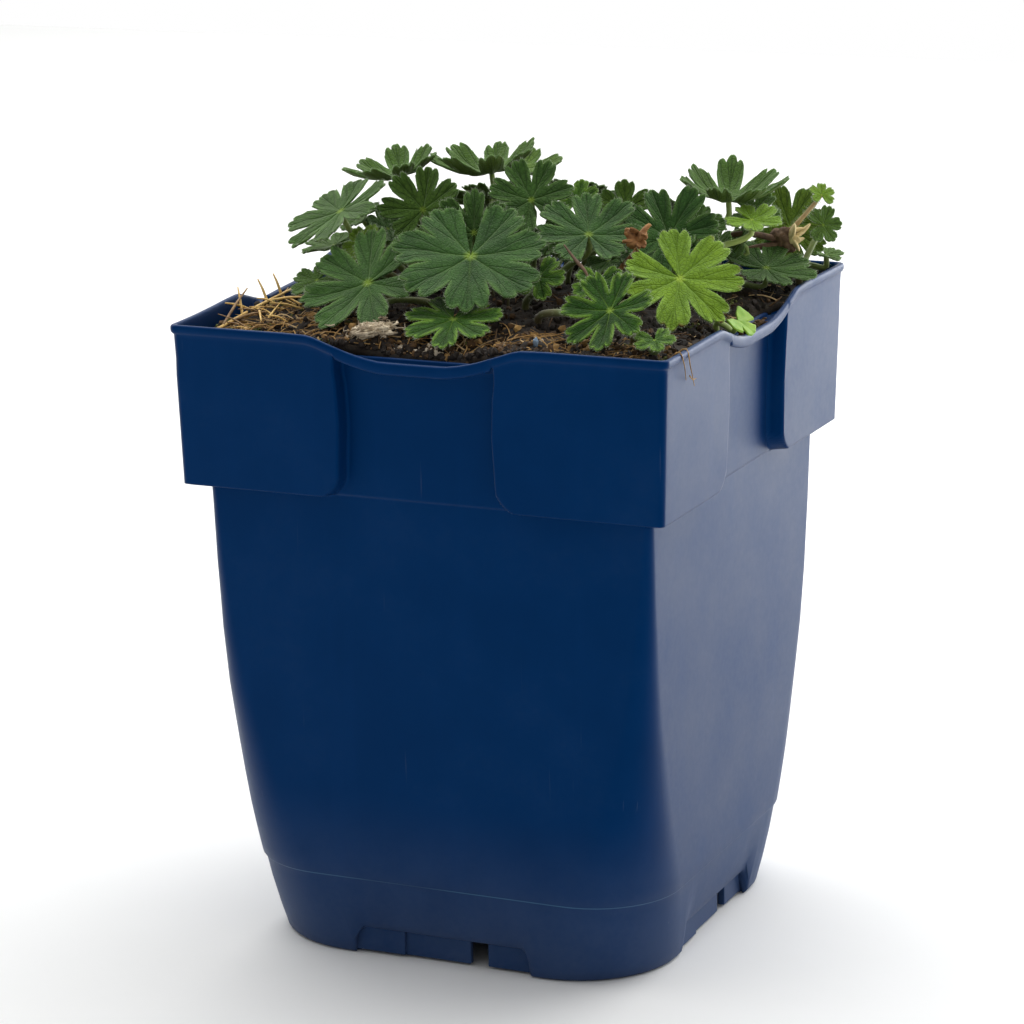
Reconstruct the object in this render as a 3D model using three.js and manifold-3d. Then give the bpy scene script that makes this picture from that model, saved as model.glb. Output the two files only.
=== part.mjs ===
// Hardy geranium in a square perennial pot. Millimetres, +Z up.
// Origin: centre of the pot's foot, on the surface it stands on. -Y is the pot's front face.
import * as THREE from 'three';
import { mergeVertices } from 'three/addons/utils/BufferGeometryUtils.js';
import Module from 'manifold-3d';

const wasm = await Module();
wasm.setup();

// ---------------------------------------------------------------- driving dimensions
const RIM = 55;              // half-width over the bead of the rim
const POT_HEIGHT = 136;      // top of the rim at the corners
const WALL = 1.2;            // wall of the moulding
const SKIRT_BOTTOM = 103;    // lower edge of the corner blocks under the rim
const SKIRT_EDGE = [15.5, 16.9];   // half-gap between two corner blocks, at the rim and low down
const SKIRT_ROUND = 5;       // rounding of the blocks' lower corners
const RIM_DIP = 4.8;         // how far the rim sinks in the middle of each side
const FLOOR = 5.9;           // underside of the raised floor
const NOTCH = 20;            // half-width of the gap between two feet
const SOIL_LEVEL = 134.2;    // soil at the corners, just under the rim
const SOIL_MOUND = 2.6;      // how much higher it lies at the crown of the plant
const GAP = 0.3;             // clearance between pieces that touch
const BLADE = 0.7;           // thickness of a leaf blade
const STALK = 0.85;          // radius of a leaf stalk
const STALK_DEPTH = 4;       // how deep a stalk stands in the soil

// Half-width and corner radius of the pot's body at a height.
const BODY = [[0, 44.2, 23], [0.9, 44.9, 23.4], [8, 46.2, 22.6], [17.7, 47.4, 20.6],
  [18.1, 47.75, 20.3], [30, 48.3, 16], [45, 48.7, 11.5], [58, 49, 8], [70, 49.2, 6],
  [85, 49.35, 4.4], [103, 49.5, 3.2], [103.3, 49.9, 3.2], [132.4, 50.8, 3]];
const BLOCKS = [[SKIRT_BOTTOM, 53.6, 2.4], [134.3, 54.5, 2.2], [134.6, RIM, 2.4],
  [POT_HEIGHT, RIM, 2.4]];

const BLUE = { color: 0x0a2a66, roughness: 0.42, metalness: 0 };
const EARTH = { color: 0x241a12, roughness: 0.95, metalness: 0 };
const STRAW = { color: 0xb98a45, roughness: 0.8, metalness: 0 };
const BARK = { color: 0x7a6a52, roughness: 0.9, metalness: 0 };
const GREEN = { color: 0x3f6b3c, roughness: 0.75, metalness: 0 };
const LIGHT_GREEN = { color: 0x5f9a35, roughness: 0.7, metalness: 0 };
const BROWN = { color: 0x6b4526, roughness: 0.85, metalness: 0 };

// ---------------------------------------------------------------- helpers
let seed = 20417;
function random() {                       // seeded, so that every run gives the same plant
  seed = (seed * 1664525 + 1013904223) % 4294967296;
  return seed / 4294967296;
}

function toSolid(geometry) {
  const g = geometry.clone();
  g.deleteAttribute('normal');
  g.deleteAttribute('uv');
  const merged = mergeVertices(g, 1e-5);
  return new wasm.Manifold(new wasm.Mesh({
    numProp: 3,
    vertProperties: new Float32Array(merged.attributes.position.array),
    triVerts: new Uint32Array(merged.index.array),
  }));
}

function toGeometry(solid) {
  const m = solid.getMesh();
  const g = new THREE.BufferGeometry();
  g.setAttribute('position', new THREE.BufferAttribute(new Float32Array(m.vertProperties), 3));
  g.setIndex(new THREE.BufferAttribute(new Uint32Array(m.triVerts), 1));
  g.computeVertexNormals();
  return g;
}

const joinAll = (solids) => solids.reduce((a, b) => a.add(b));

// A closed solid through rings of equally many points, capped flat at both ends.
function loft(rings) {
  const n = rings[0].length;
  const points = rings.flat();
  const index = [];
  for (let k = 0; k + 1 < rings.length; k++) {
    for (let i = 0; i < n; i++) {
      const a = k * n + i, b = k * n + (i + 1) % n;
      index.push(a, b, b + n, a, b + n, a + n);
    }
  }
  const last = (rings.length - 1) * n;
  for (let i = 1; i + 1 < n; i++) {
    index.push(0, i + 1, i);
    index.push(last, last + i, last + i + 1);
  }
  const g = new THREE.BufferGeometry().setFromPoints(points);
  g.setIndex(index);
  return toSolid(g);
}

// A square with rounded corners, counter-clockwise seen from above.
function squareRing(half, radius, z, steps = 5) {
  const ring = [];
  for (let corner = 0; corner < 4; corner++) {
    const turn = corner * Math.PI / 2;
    const cx = (half - radius) * Math.SQRT2 * Math.cos(turn + Math.PI / 4);
    const cy = (half - radius) * Math.SQRT2 * Math.sin(turn + Math.PI / 4);
    for (let i = 0; i <= steps; i++) {
      const a = turn + i / steps * Math.PI / 2;
      ring.push(new THREE.Vector3(cx + radius * Math.cos(a), cy + radius * Math.sin(a), z));
    }
  }
  return ring;
}

const profileLoft = (profile, inset, steps) => loft(profile.map(([z, half, radius]) =>
  squareRing(half - inset, Math.max(radius - inset, 1.2), z, steps)));

// An outline drawn across a side of the pot (s along the side, z up), pushed out from the
// distance `from` to the distance `to`, on the side that faces the direction `side` (0..3).
function acrossSide(outline, from, to, side) {
  const shape = new THREE.Shape(outline.map(([s, z]) => new THREE.Vector2(s, z)));
  const g = new THREE.ExtrudeGeometry(shape, { depth: to - from, bevelEnabled: false });
  g.rotateX(Math.PI / 2);                 // the drawing stands up and points to -Y
  g.translate(0, -from, 0);
  g.rotateZ(side * Math.PI / 2);
  return toSolid(g);
}

const onFourSides = (make) => joinAll([0, 1, 2, 3].map(make));

function boxSolid(x0, x1, y0, y1, z0, z1) {
  const g = new THREE.BoxGeometry(x1 - x0, y1 - y0, z1 - z0);
  g.translate((x0 + x1) / 2, (y0 + y1) / 2, (z0 + z1) / 2);
  return toSolid(g);
}

function add(name, solid, material) {
  const mesh = new THREE.Mesh(toGeometry(solid), new THREE.MeshStandardMaterial(material));
  mesh.name = name;
  object.add(mesh);
}

// ---------------------------------------------------------------- the pot
// Height of the rim along a side: level at the corners, sunk in the middle.
function rimHeight(s) {
  const t = Math.min(1, Math.max(0, (25 - Math.abs(s)) / 15));
  return POT_HEIGHT - RIM_DIP * t * t * (3 - 2 * t);
}

// The gap between two corner blocks, with the blocks' rounded lower corners.
function gapOutline(grow) {
  const half = [[SKIRT_EDGE[0] - grow, POT_HEIGHT + 6], [SKIRT_EDGE[1] - grow, SKIRT_BOTTOM + SKIRT_ROUND]];
  for (let i = 1; i <= 4; i++) {
    const a = i / 4 * Math.PI / 2;
    half.push([SKIRT_EDGE[1] + SKIRT_ROUND - (SKIRT_ROUND + grow) * Math.cos(a),
      SKIRT_BOTTOM + SKIRT_ROUND - (SKIRT_ROUND + grow) * Math.sin(a)]);
  }
  half.push([SKIRT_EDGE[1] + SKIRT_ROUND, SKIRT_BOTTOM - 4 - grow]);
  return [...half.map(([s, z]) => [-s, z]), ...half.reverse()];
}

function cornerBlocks() {
  const dip = [];
  for (let i = -5; i <= 5; i++) dip.push([i * 4.9, rimHeight(i * 4.9)]);
  dip.push([24.5, POT_HEIGHT + 9], [-24.5, POT_HEIGHT + 9]);
  return profileLoft(BLOCKS, 0, 3).subtract(onFourSides((side) =>
    acrossSide(gapOutline(0), 46, 60, side).add(acrossSide(dip, 46, 60, side))));
}

// The room inside the corner blocks, `inset` clear of their outer faces.
function blockRoom(inset) {
  const room = [[SKIRT_BOTTOM + inset, 53.6, 2.4], [POT_HEIGHT + 5, 54.6, 2.4]];
  return profileLoft(room, inset, 2).subtract(onFourSides((side) =>
    acrossSide(gapOutline(-inset), 46, 60, side)));
}

// The room inside the pot, kept `gap` clear of its walls and floor.
function potRoom(gap) {
  const inset = WALL + gap;
  const kept = BODY.filter(([z]) => [17.7, 30, 45, 70].includes(z));
  const main = profileLoft([[FLOOR + WALL + gap, 46, 22.7], ...kept, [103, 49.5, 3.2],
    [POT_HEIGHT + 5, 51.0, 3]], inset, 4);
  const low = profileLoft([[WALL + gap, 44.9, 23.4], [9, 46.3, 22.5]], inset, 4);
  const feet = [[1, 1], [-1, 1], [-1, -1], [1, -1]].map(([x, y]) => {
    const near = NOTCH + WALL + gap;
    return boxSolid(Math.min(x * near, x * 60), Math.max(x * near, x * 60),
      Math.min(y * near, y * 60), Math.max(y * near, y * 60), 0, 10);
  });
  return joinAll([main, low.intersect(joinAll(feet)), blockRoom(inset)]);
}

// The lip along the middle of a side: a bead that follows the sunken rim, and the narrow ledge
// that carries it in front of the upright wall.
function lip(side) {
  const band = (reach, top, drop) => {
    const outline = [];
    for (let i = -5; i <= 5; i++) outline.push([i / 5 * reach, rimHeight(i / 5 * reach) - top]);
    for (let i = 5; i >= -5; i--) {
      const s = i / 5 * reach;
      outline.push([s, rimHeight(s) - drop * (1 - 0.4 * Math.abs(s) / 24.5)]);
    }
    return outline;
  };
  return acrossSide(band(24.5, 0, 2.6), 53.5, 54.8, side)
    .add(acrossSide(band(16.2, 0.7, 1.9), 50, 54.2, side));
}

// The set-back panels between two feet, with a narrow slot between them.
function footPanels(side) {
  const plate = (s0, s1, outer) => acrossSide([[s0, 1], [s1, 1], [s1, 6.4], [s0, 6.4]],
    42, outer, side);
  return joinAll([plate(-20.4, 6, 43.2), plate(-20.4, -9, 43.8), plate(10, 20.4, 43.2)]);
}

function makePot() {
  const notch = [[-20.4, -2], [-19.8, 4.6], [-18.7, FLOOR], [18.7, FLOOR], [19.8, 4.6], [20.4, -2]];
  let pot = profileLoft(BODY, 0, 4).add(cornerBlocks()).subtract(potRoom(0));
  for (const side of [0, 1]) pot = pot.subtract(acrossSide(notch, -70, 70, side));
  pot = pot.add(onFourSides(lip)).add(onFourSides(footPanels));
  for (let i = 0; i < 4; i++) {           // drain slots in the raised floor
    const slot = new THREE.BoxGeometry(11, 3.2, 8);
    slot.translate(0, 29, FLOOR);
    slot.rotateZ(i * Math.PI / 2);
    pot = pot.subtract(toSolid(slot));
  }
  const drain = new THREE.CylinderGeometry(4, 4, 8, 12);
  drain.rotateX(Math.PI / 2);
  drain.translate(0, 0, FLOOR);
  return pot.subtract(toSolid(drain));
}

// ---------------------------------------------------------------- the soil
const lump = (x, y) => Math.sin(x * 0.31 + 1.3) * Math.cos(y * 0.27 - 0.4)
  + 0.6 * Math.sin(x * 0.83 - y * 0.61);

function soilHeight(x, y) {
  const far = Math.max(Math.abs(x), Math.abs(y)), near = Math.min(Math.abs(x), Math.abs(y));
  const edge = Math.min(1, Math.max(0, (far - 32) / 16));        // sinks with the rim at the walls
  const wall = Math.min(SOIL_LEVEL, rimHeight(near) + 0.3);
  const corner = Math.max(0, (-x - y - 66) / 30);                // the front left corner lies lower
  const middle = SOIL_LEVEL + SOIL_MOUND * Math.exp(-(x * x + y * y) / 700);
  return middle * (1 - edge) + wall * edge + 0.45 * (1 - 0.7 * edge) * lump(x, y) - 2.2 * corner;
}

function makeSoil(holes) {
  const block = new THREE.BoxGeometry(112, 112, 140, 14, 14, 1);
  const p = block.attributes.position;
  for (let i = 0; i < p.count; i++) {
    const x = p.getX(i), y = p.getY(i);
    const crumb = 0.8 * Math.abs(Math.sin(x * 12.9898 + y * 78.233)) - 0.4;
    p.setZ(i, p.getZ(i) > 0 ? soilHeight(x, y) + crumb : 0);
  }
  let soil = toSolid(block).intersect(potRoom(GAP));
  for (const hole of holes) soil = soil.subtract(hole);
  return soil;
}

// A plain upright hole in the soil for a stalk of the given radius.
function stalkHole(x, y, radius) {
  const g = new THREE.CylinderGeometry(radius + 0.6, radius + 0.6, STALK_DEPTH + 6.3, 4);
  g.rotateX(Math.PI / 2);
  g.translate(x, y, soilHeight(x, y) - STALK_DEPTH - GAP + (STALK_DEPTH + 6.3) / 2);
  return toSolid(g);
}

// ---------------------------------------------------------------- leaves
// Half the outline of one lobe, from its left sinus on: place across the lobe (-1..1) and
// distance from the leaf's centre as a share of the lobe's length. Three rounded teeth.
const TEETH = [[-1, 0.46], [-0.78, 0.87], [-0.52, 0.94], [-0.33, 0.87], [-0.13, 1],
  [0.13, 1], [0.33, 0.87], [0.52, 0.94], [0.78, 0.87]];
const TEETH_PLAIN = [[-1, 0.46], [-0.72, 0.92], [-0.36, 0.87], [-0.13, 1], [0.13, 1], [0.36, 0.87],
  [0.72, 0.92]];
const TEETH_SMALL = [[-1, 0.5], [-0.66, 0.93], [-0.3, 0.88], [0, 1], [0.3, 0.88], [0.66, 0.93]];

function leafOutline(lobes, radius) {
  const teeth = radius > 15 ? TEETH : radius > 10.2 ? TEETH_PLAIN : TEETH_SMALL;
  const spread = { 7: 48.5, 5: 64, 3: 88 }[lobes];     // degrees from lobe to lobe
  const half = (lobes - 1) / 2;
  const outline = [];
  for (let k = -half; k <= half; k++) {
    const length = 1 - 0.014 * k * k;
    for (const [x, r] of teeth) {
      const first = k === -half && x === -1;
      outline.push({ angle: (k + x / 2) * spread, r: first ? 0.3 : r * length, x,
        rib: r === 1 && x >= 0, ribAngle: k * spread });
    }
  }
  outline.push({ angle: (half + 0.5) * spread, r: 0.3, x: 1 });
  outline.push({ angle: 180, r: 0.12, x: 0 });
  return outline;
}

// The directions of a leaf: X down its middle lobe, N out of its face.
// az 0 faces -Y, az 90 faces +X; el 90 faces up; spin turns the middle lobe round N.
function leafFrame(az, el, spin) {
  const rad = Math.PI / 180;
  const [a, e, s] = [az * rad, el * rad, spin * rad];
  const n = new THREE.Vector3(Math.sin(a) * Math.cos(e), -Math.cos(a) * Math.cos(e), Math.sin(e));
  const d = new THREE.Vector3(Math.sin(a) * Math.sin(e), -Math.cos(a) * Math.sin(e), -Math.cos(e));
  const x = d.clone().multiplyScalar(Math.cos(s)).addScaledVector(n.clone().cross(d), Math.sin(s));
  return { x, y: n.clone().cross(x), n };
}

// Height of the blade over its plane, as a share of the leaf's radius.
function bladeHeight(leaf, angle, rho, x) {
  const across = Math.abs(rho * Math.sin(angle));
  return leaf.cup * rho * rho + leaf.fold * across - 0.04 * rho * Math.cos(Math.PI * x);
}

function bladeSolid(leaf) {
  const outline = leafOutline(leaf.lobes, leaf.radius);
  const { x: ex, y: ey, n } = leafFrame(leaf.az, leaf.el, leaf.spin);
  const at = (angle, rho, x, drop) => {
    const w = bladeHeight(leaf, angle, rho, x) * leaf.radius - drop;
    return new THREE.Vector3(leaf.x, leaf.y, leaf.z)
      .addScaledVector(ex, rho * leaf.radius * Math.cos(angle))
      .addScaledVector(ey, rho * leaf.radius * Math.sin(angle))
      .addScaledVector(n, w);
  };
  const rad = Math.PI / 180;
  const points = [[], []];
  const faces = [];
  for (const side of [0, 1]) {
    points[side].push(at(0, 0, 0, side * BLADE));
    for (const o of outline) points[side].push(at(o.angle * rad, o.r, o.x, side * BLADE));
  }
  const count = outline.length;
  const inner = [];                       // one inner point on each rib and in each sinus
  outline.forEach((o, i) => {
    if (Math.abs(o.x) === 1 || o.rib) inner.push(i);
  });
  for (const side of [0, 1]) {
    for (const i of inner) {
      const o = outline[i];
      const rho = o.rib ? 0.55 : 0.24;
      points[side].push(at((o.rib ? o.ribAngle : o.angle) * rad, rho, o.rib ? 0 : o.x, side * BLADE));
    }
  }
  const first = 1 + count;
  inner.forEach((from, j) => {
    const jn = (j + 1) % inner.length;
    const span = (inner[jn] - from + count) % count;
    const half = Math.ceil(span / 2);
    faces.push([0, first + j, first + jn]);
    for (let i = 0; i < span; i++) {
      const a = (from + i) % count;
      faces.push([first + (i < half ? j : jn), 1 + a, 1 + (a + 1) % count]);
    }
    faces.push([first + j, 1 + (from + half) % count, first + jn]);
  });
  const total = points[0].length;
  const index = [];
  for (const [a, b, c] of faces) index.push(a, b, c, total + a, total + c, total + b);
  for (let i = 0; i < count; i++) {
    const a = 1 + i, b = 1 + (i + 1) % count;
    index.push(a, total + a, total + b, a, total + b, b);
  }
  const g = new THREE.BufferGeometry().setFromPoints([...points[0], ...points[1]]);
  g.setIndex(index);
  return toSolid(g);
}

function tube(points, radius, sides, steps) {
  const section = new THREE.Shape();
  for (let i = 0; i < sides; i++) {
    const a = i / sides * 2 * Math.PI;
    if (i) section.lineTo(radius * Math.cos(a), radius * Math.sin(a));
    else section.moveTo(radius, 0);
  }
  section.closePath();
  const path = new THREE.CatmullRomCurve3(points, false, 'centripetal');
  return toSolid(new THREE.ExtrudeGeometry(section, { extrudePath: path, steps }));
}

// The stalk: upright out of its hole, then over to the back of the blade.
function stalkSolid(leaf) {
  const { n } = leafFrame(leaf.az, leaf.el, leaf.spin);
  const ground = soilHeight(leaf.rootX, leaf.rootY);
  const centre = new THREE.Vector3(leaf.x, leaf.y, leaf.z);
  const low = new THREE.Vector3(leaf.rootX, leaf.rootY, ground + 2.5);
  const back = centre.clone().addScaledVector(n, -0.22 * leaf.radius - 1).add(new THREE.Vector3(0, 0, -1));
  const middle = low.clone().lerp(back, 0.55).add(new THREE.Vector3(0, 0, 0.06 * low.distanceTo(back)));
  const points = [-STALK_DEPTH, -1].map((z) => new THREE.Vector3(leaf.rootX, leaf.rootY, ground + z));
  points.push(low, middle, back, centre.clone().addScaledVector(n, -0.3));
  return tube(points, STALK, 3, low.distanceTo(back) > 20 ? 6 : 5);
}

// Each leaf: place of the blade's centre, the way it faces, spin, radius, how far it is
// cupped and folded, lobes, where its stalk leaves the soil, and whether it is a young, light one.
const LEAVES = [
  // x, y, z, az, el, spin, radius, cup, fold, lobes, rootX, rootY, light
  [1, -27, 149, 20, 56, 0, 17.5, 0.10, 0.05, 7, 3, -14, 0],
  [-19.1, -34.2, 143.4, -10, 52, -60, 15.2, 0.10, 0.06, 7, -9.8, -22.6, 0],
  [-33.5, -17, 155, -40, 58, 0, 13, 0.10, 0.04, 7, -18, -10, 0],
  [-29.5, 3.8, 160, -60, 76, 0, 11.5, 0.30, 0.00, 7, -15, 3, 0],
  [-10, 9, 161, -70, 80, 0, 13, 0.30, 0.00, 7, -4, 5, 0],
  [-17.5, -10, 155, 10, 22, 175, 9.5, 0.20, 0.15, 7, -10, -6, 0],
  [-27.6, -19, 148.6, -20, 45, -60, 5.5, 0.10, 0.05, 5, -12, -7, 1],
  [-9.5, 25, 159.5, 60, 70, 0, 8, 0.25, 0.00, 5, -4, 17, 0],
  [4, -2, 157, 20, 35, -155, 9.5, 0.15, 0.05, 7, 1, 0, 0],
  [-4, -14, 151.5, 20, 22, 180, 9.2, 0.10, 0.12, 7, -3, -8, 0],
  [19.5, -8, 151.5, 25, 58, 180, 12, 0.12, 0.06, 7, 9, -6, 0],
  [18, 16, 153, 20, 22, 180, 6.5, 0.15, 0.05, 5, 10, 10, 0],
  [32, 6, 149.5, 30, 28, -165, 11.5, 0.05, 0.35, 7, 19, 2, 0],
  [42.8, -16, 145, 28, 48, 35, 14, 0.08, 0.05, 7, 29, -14, 1],
  [37.5, -41, 142.5, -10, 45, -35, 10.8, 0.10, 0.06, 7, 16, -27, 1],
  [2.8, -40, 138.3, 10, 68, 0, 10.8, 0.06, 0.04, 7, 4, -27, 0],
  [38, 26, 155, 60, 84, 90, 12.5, 0.34, 0.00, 7, 18, 16, 0],
  [46.5, 17, 152.2, 30, 72, 60, 6.5, 0.15, 0.05, 5, 26, 7, 1],
  [45, 46, 146, 20, 20, 150, 10, 0.10, 0.05, 7, 28, 32, 0],
  [53, 45, 147, 40, 24, 90, 4.4, 0.15, 0.05, 5, 50, 38, 0],
  [46, 28, 140, 50, 70, 90, 11, 0.20, 0.00, 7, 33, 14, 0],
  [8, 14, 155, 0, 40, 180, 5, 0.10, 0.10, 5, 3, 9, 0],
  [42, 31, 151.5, 20, 55, 80, 6, 0.10, 0.10, 5, 25, 22, 0],
  [-39, -9.4, 146.2, -60, 78, 12, 7.5, 0.12, 0.08, 5, -25, -5, 0],
  [52, 50.5, 139.5, 60, 80, 0, 4, 0.10, 0.20, 5, 44, 46, 0],
  [26, -18.5, 143, 20, 45, 0, 6, 0.10, 0.10, 5, 17, -13, 0],
  [14, -22, 144.5, 10, 45, 20, 6, 0.10, 0.10, 5, 9, -17, 0],
  [48.5, -45, 138, 10, 66, 22, 4.4, 0.12, 0.05, 5, 41, -37, 0],
  [-34, -28, 142, -20, 60, -30, 6.2, 0.10, 0.05, 5, -22, -19, 0],
  [-38.5, 3, 151, -40, 50, 0, 5.5, 0.10, 0.05, 5, -26, 4, 0],
  [36, 12, 150, 20, 40, 170, 6.5, 0.15, 0.15, 5, 24, 8, 0],
  [-19, 29.5, 151.5, -150, 64, 0, 11.6, 0.10, 0.05, 7, -9, 14, 0],
  [0, 38, 151, 175, 60, 0, 12.5, 0.10, 0.05, 7, 2, 22, 0],
  [22, 37, 149, 155, 60, 0, 11.5, 0.10, 0.05, 7, 12, 20, 0],
  [-37, 15, 147, -100, 60, 0, 11, 0.08, 0.05, 7, -22, 10, 0],
  [-34, 38, 143, -135, 56, 0, 10.5, 0.08, 0.05, 7, -20, 22, 0],
  [11, 45, 141, 180, 60, 20, 7.5, 0.08, 0.08, 5, 8, 32, 0],
  [-12, 45, 142, -170, 60, -20, 8.2, 0.08, 0.05, 5, -8, 32, 0],
  [-45, 27, 140, -90, 66, 0, 6.5, 0.08, 0.05, 5, -34, 22, 1],
];
// A shrivelled brown leaf between the green ones, and a seedling that hangs over the right rim.
const DEAD_LEAF = [31.3, -10.8, 153.5, 10, 40, 120, 4.6, 0.75, 0.10, 5, 22, -7, 0];
const SEEDLING = [53.4, -9.5, 137, 75, 50, 20, 4.2, 0.10, 0.05, 3, 47.5, -7, 1];

// The woody end of an old shoot at the back right: root, bend, knob, and its one small leaf.
const SHOOT = [[44, 40], [45, 39.6, 143], [46.2, 38.4, 147.3]];
const SHOOT_LEAF = [53.5, 42.5, 154, 40, 40, 170, 3, 0.10, 0.20, 5, 0, 0, 1];

// Old straw in a tangle at the left wall: one long stalk, and others that start on it at a
// share of its length and end at a tip.
const LONG_STRAW = [[-47.5, -47, 134.2], [-49, -8, 136.2]];
const STRAW_TIPS = [[0.05, -51, -27, 139], [0.30, -52.2, -29, 139.5], [0.42, -51, -37, 137.6],
  [0.18, -42, -36, 136.2], [0.62, -51.3, -21.5, 140], [0.80, -51.2, -14.5, 140],
  [0.50, -38.5, -45, 136], [0.66, -36, -27, 138]];
const BARK_CHIP = [-12.4, -46.2];

// ---------------------------------------------------------------- shoot, straw, bark
function rough(geometry, amount) {        // moves every corner in or out by a seeded share
  const merged = mergeVertices(geometry.deleteAttribute('normal').deleteAttribute('uv'), 1e-4);
  const p = merged.attributes.position;
  for (let i = 0; i < p.count; i++) {
    const k = 1 + amount * (random() - 0.5);
    p.setXYZ(i, p.getX(i) * k, p.getY(i) * k, p.getZ(i) * k);
  }
  return merged;
}

function shootSolid() {
  const [[rx, ry], bend, knob] = SHOOT;
  const ground = soilHeight(rx, ry);
  const end = new THREE.Vector3(...knob);
  const stem = tube([new THREE.Vector3(rx, ry, ground - STALK_DEPTH), new THREE.Vector3(rx, ry, ground + 1),
    new THREE.Vector3(...bend), end], 1.1, 5, 6);
  const ball = rough(new THREE.IcosahedronGeometry(2.9, 1), 0.35);
  ball.translate(...knob);
  const leaf = asLeaf(SHOOT_LEAF);
  const tip = new THREE.Vector3(leaf.x, leaf.y, leaf.z);
  const arm = tube([end, end.clone().lerp(tip, 0.45).add(new THREE.Vector3(1, 0.6, 1.2)), tip], 0.7, 4, 6);
  const scales = [[1, 0.1, 0.3], [0.6, -0.3, 0.8], [1, 0.4, -0.3]].map((direction) => {
    const cone = new THREE.ConeGeometry(1.5, 5, 5);
    cone.scale(1, 1, 0.5);
    cone.translate(0, 2.5, 0);
    cone.applyQuaternion(new THREE.Quaternion().setFromUnitVectors(new THREE.Vector3(0, 1, 0),
      new THREE.Vector3(...direction).normalize()));
    cone.translate(...knob);
    return toSolid(cone);
  });
  return joinAll([stem, toSolid(ball), arm, bladeSolid(leaf), ...scales]);
}

const line = (from, to, radius) => tube([new THREE.Vector3(...from), new THREE.Vector3(...to)], radius, 4, 1);

function strawSolid(grow) {
  const [a, b] = LONG_STRAW;
  const stalks = [line(a, b, 0.55 + grow)];
  for (const [share, ...tip] of STRAW_TIPS) {
    stalks.push(line(a.map((v, i) => v + (b[i] - v) * share), tip, 0.45 + grow));
  }
  return joinAll(stalks);
}

function chipSolid() {
  const chip = rough(new THREE.IcosahedronGeometry(1, 1), 0.5);
  chip.scale(4.6, 2.7, 1.4);
  chip.rotateZ(0.4);
  chip.rotateX(0.2);                       // lies with the slope of the soil
  chip.translate(...BARK_CHIP, soilHeight(...BARK_CHIP) + 3.3);
  return toSolid(chip);
}

// ---------------------------------------------------------------- assembly
const asLeaf = ([x, y, z, az, el, spin, radius, cup, fold, lobes, rootX, rootY, light]) =>
  ({ x, y, z, az, el, spin, radius, cup, fold, lobes, rootX, rootY, light });

const object = new THREE.Group();
object.name = 'hardy_geranium';

const leaves = LEAVES.map(asLeaf);
const [deadLeaf, seedling] = [DEAD_LEAF, SEEDLING].map(asLeaf);
const holes = [...leaves, deadLeaf, seedling].map((leaf) => stalkHole(leaf.rootX, leaf.rootY, STALK));
holes.push(stalkHole(...SHOOT[0], 1.2), strawSolid(GAP));

add('pot', makePot(), BLUE);
add('soil', makeSoil(holes), EARTH);
leaves.forEach((leaf, i) => {
  add(`leaf_${String(i + 1).padStart(2, '0')}`, bladeSolid(leaf).add(stalkSolid(leaf)),
    leaf.light ? LIGHT_GREEN : GREEN);
});
add('dead_leaf', bladeSolid(deadLeaf).add(stalkSolid(deadLeaf)), BROWN);
add('seedling', bladeSolid(seedling).add(stalkSolid(seedling)), LIGHT_GREEN);
add('woody_shoot', shootSolid(), BROWN);
add('straw', strawSolid(0), STRAW);
add('bark_chip', chipSolid(), BARK);

export default object;
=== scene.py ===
# %% [markdown]
# # A hardy geranium in its nursery pot
# This lesson dresses a plain model of a young cranesbill in a square plastic pot. The plain model
# gives each piece its place and size. Here each piece gets its fine shape and its finish: the
# moulded pot, crumbly soil, velvety leaves with veins and hairs, straw and bark.
# Everything is in metres in the end, but plant parts are easier to think of in millimetres, so
# the shapes are worked out in millimetres and scaled once when a piece is finished.

# %% Load the plain model
import math
import random

import bmesh
import bpy
from mathutils import Matrix, Vector, noise


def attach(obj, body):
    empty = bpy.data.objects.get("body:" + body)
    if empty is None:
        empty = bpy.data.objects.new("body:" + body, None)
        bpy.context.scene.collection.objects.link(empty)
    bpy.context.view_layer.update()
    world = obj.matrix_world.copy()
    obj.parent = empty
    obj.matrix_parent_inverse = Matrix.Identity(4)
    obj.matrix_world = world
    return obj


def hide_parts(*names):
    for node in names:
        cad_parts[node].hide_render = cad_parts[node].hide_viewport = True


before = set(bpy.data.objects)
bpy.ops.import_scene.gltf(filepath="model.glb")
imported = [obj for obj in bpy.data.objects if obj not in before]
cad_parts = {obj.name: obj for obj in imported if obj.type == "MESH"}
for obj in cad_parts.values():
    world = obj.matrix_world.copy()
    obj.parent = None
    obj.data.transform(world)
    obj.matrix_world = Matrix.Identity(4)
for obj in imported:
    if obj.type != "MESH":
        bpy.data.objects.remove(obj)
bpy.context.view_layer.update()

MM = 0.001

# %% [markdown]
# ## Small helpers
# Most pieces start as a flat grid that is bent into shape, the way a label is wrapped round a
# jar. `bent_grid` makes the grid with one operator and moves each of its points to the place
# that a function gives. A grid keeps its faces in neat rows, so it shades smoothly, and its
# two coordinates are at hand for patterns that follow the surface.


# %% Helpers for shapes
def smooth_step(low, high, x):
    t = min(1.0, max(0.0, (x - low) / (high - low)))
    return t * t * (3 - 2 * t)


def bent_grid(bm, columns, rows, place, uv=None, material=0):
    """Adds a grid of columns x rows faces to bm, each point moved to place(u, v), u and v 0..1."""
    before = set(bm.verts)
    bmesh.ops.create_grid(bm, x_segments=columns, y_segments=rows, size=0.5)
    points = [p for p in bm.verts if p not in before]
    where = {p: (p.co.x + 0.5, p.co.y + 0.5) for p in points}
    layer = bm.loops.layers.uv.verify()
    faces = list(dict.fromkeys(f for p in points for f in p.link_faces))
    for f in faces:
        f.material_index = material
        f.smooth = True
        for corner in f.loops:
            u, v = where[corner.vert]
            corner[layer].uv = uv(u, v) if uv else (u, v)
    for p in points:
        p.co = place(*where[p])
    return points, faces


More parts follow.
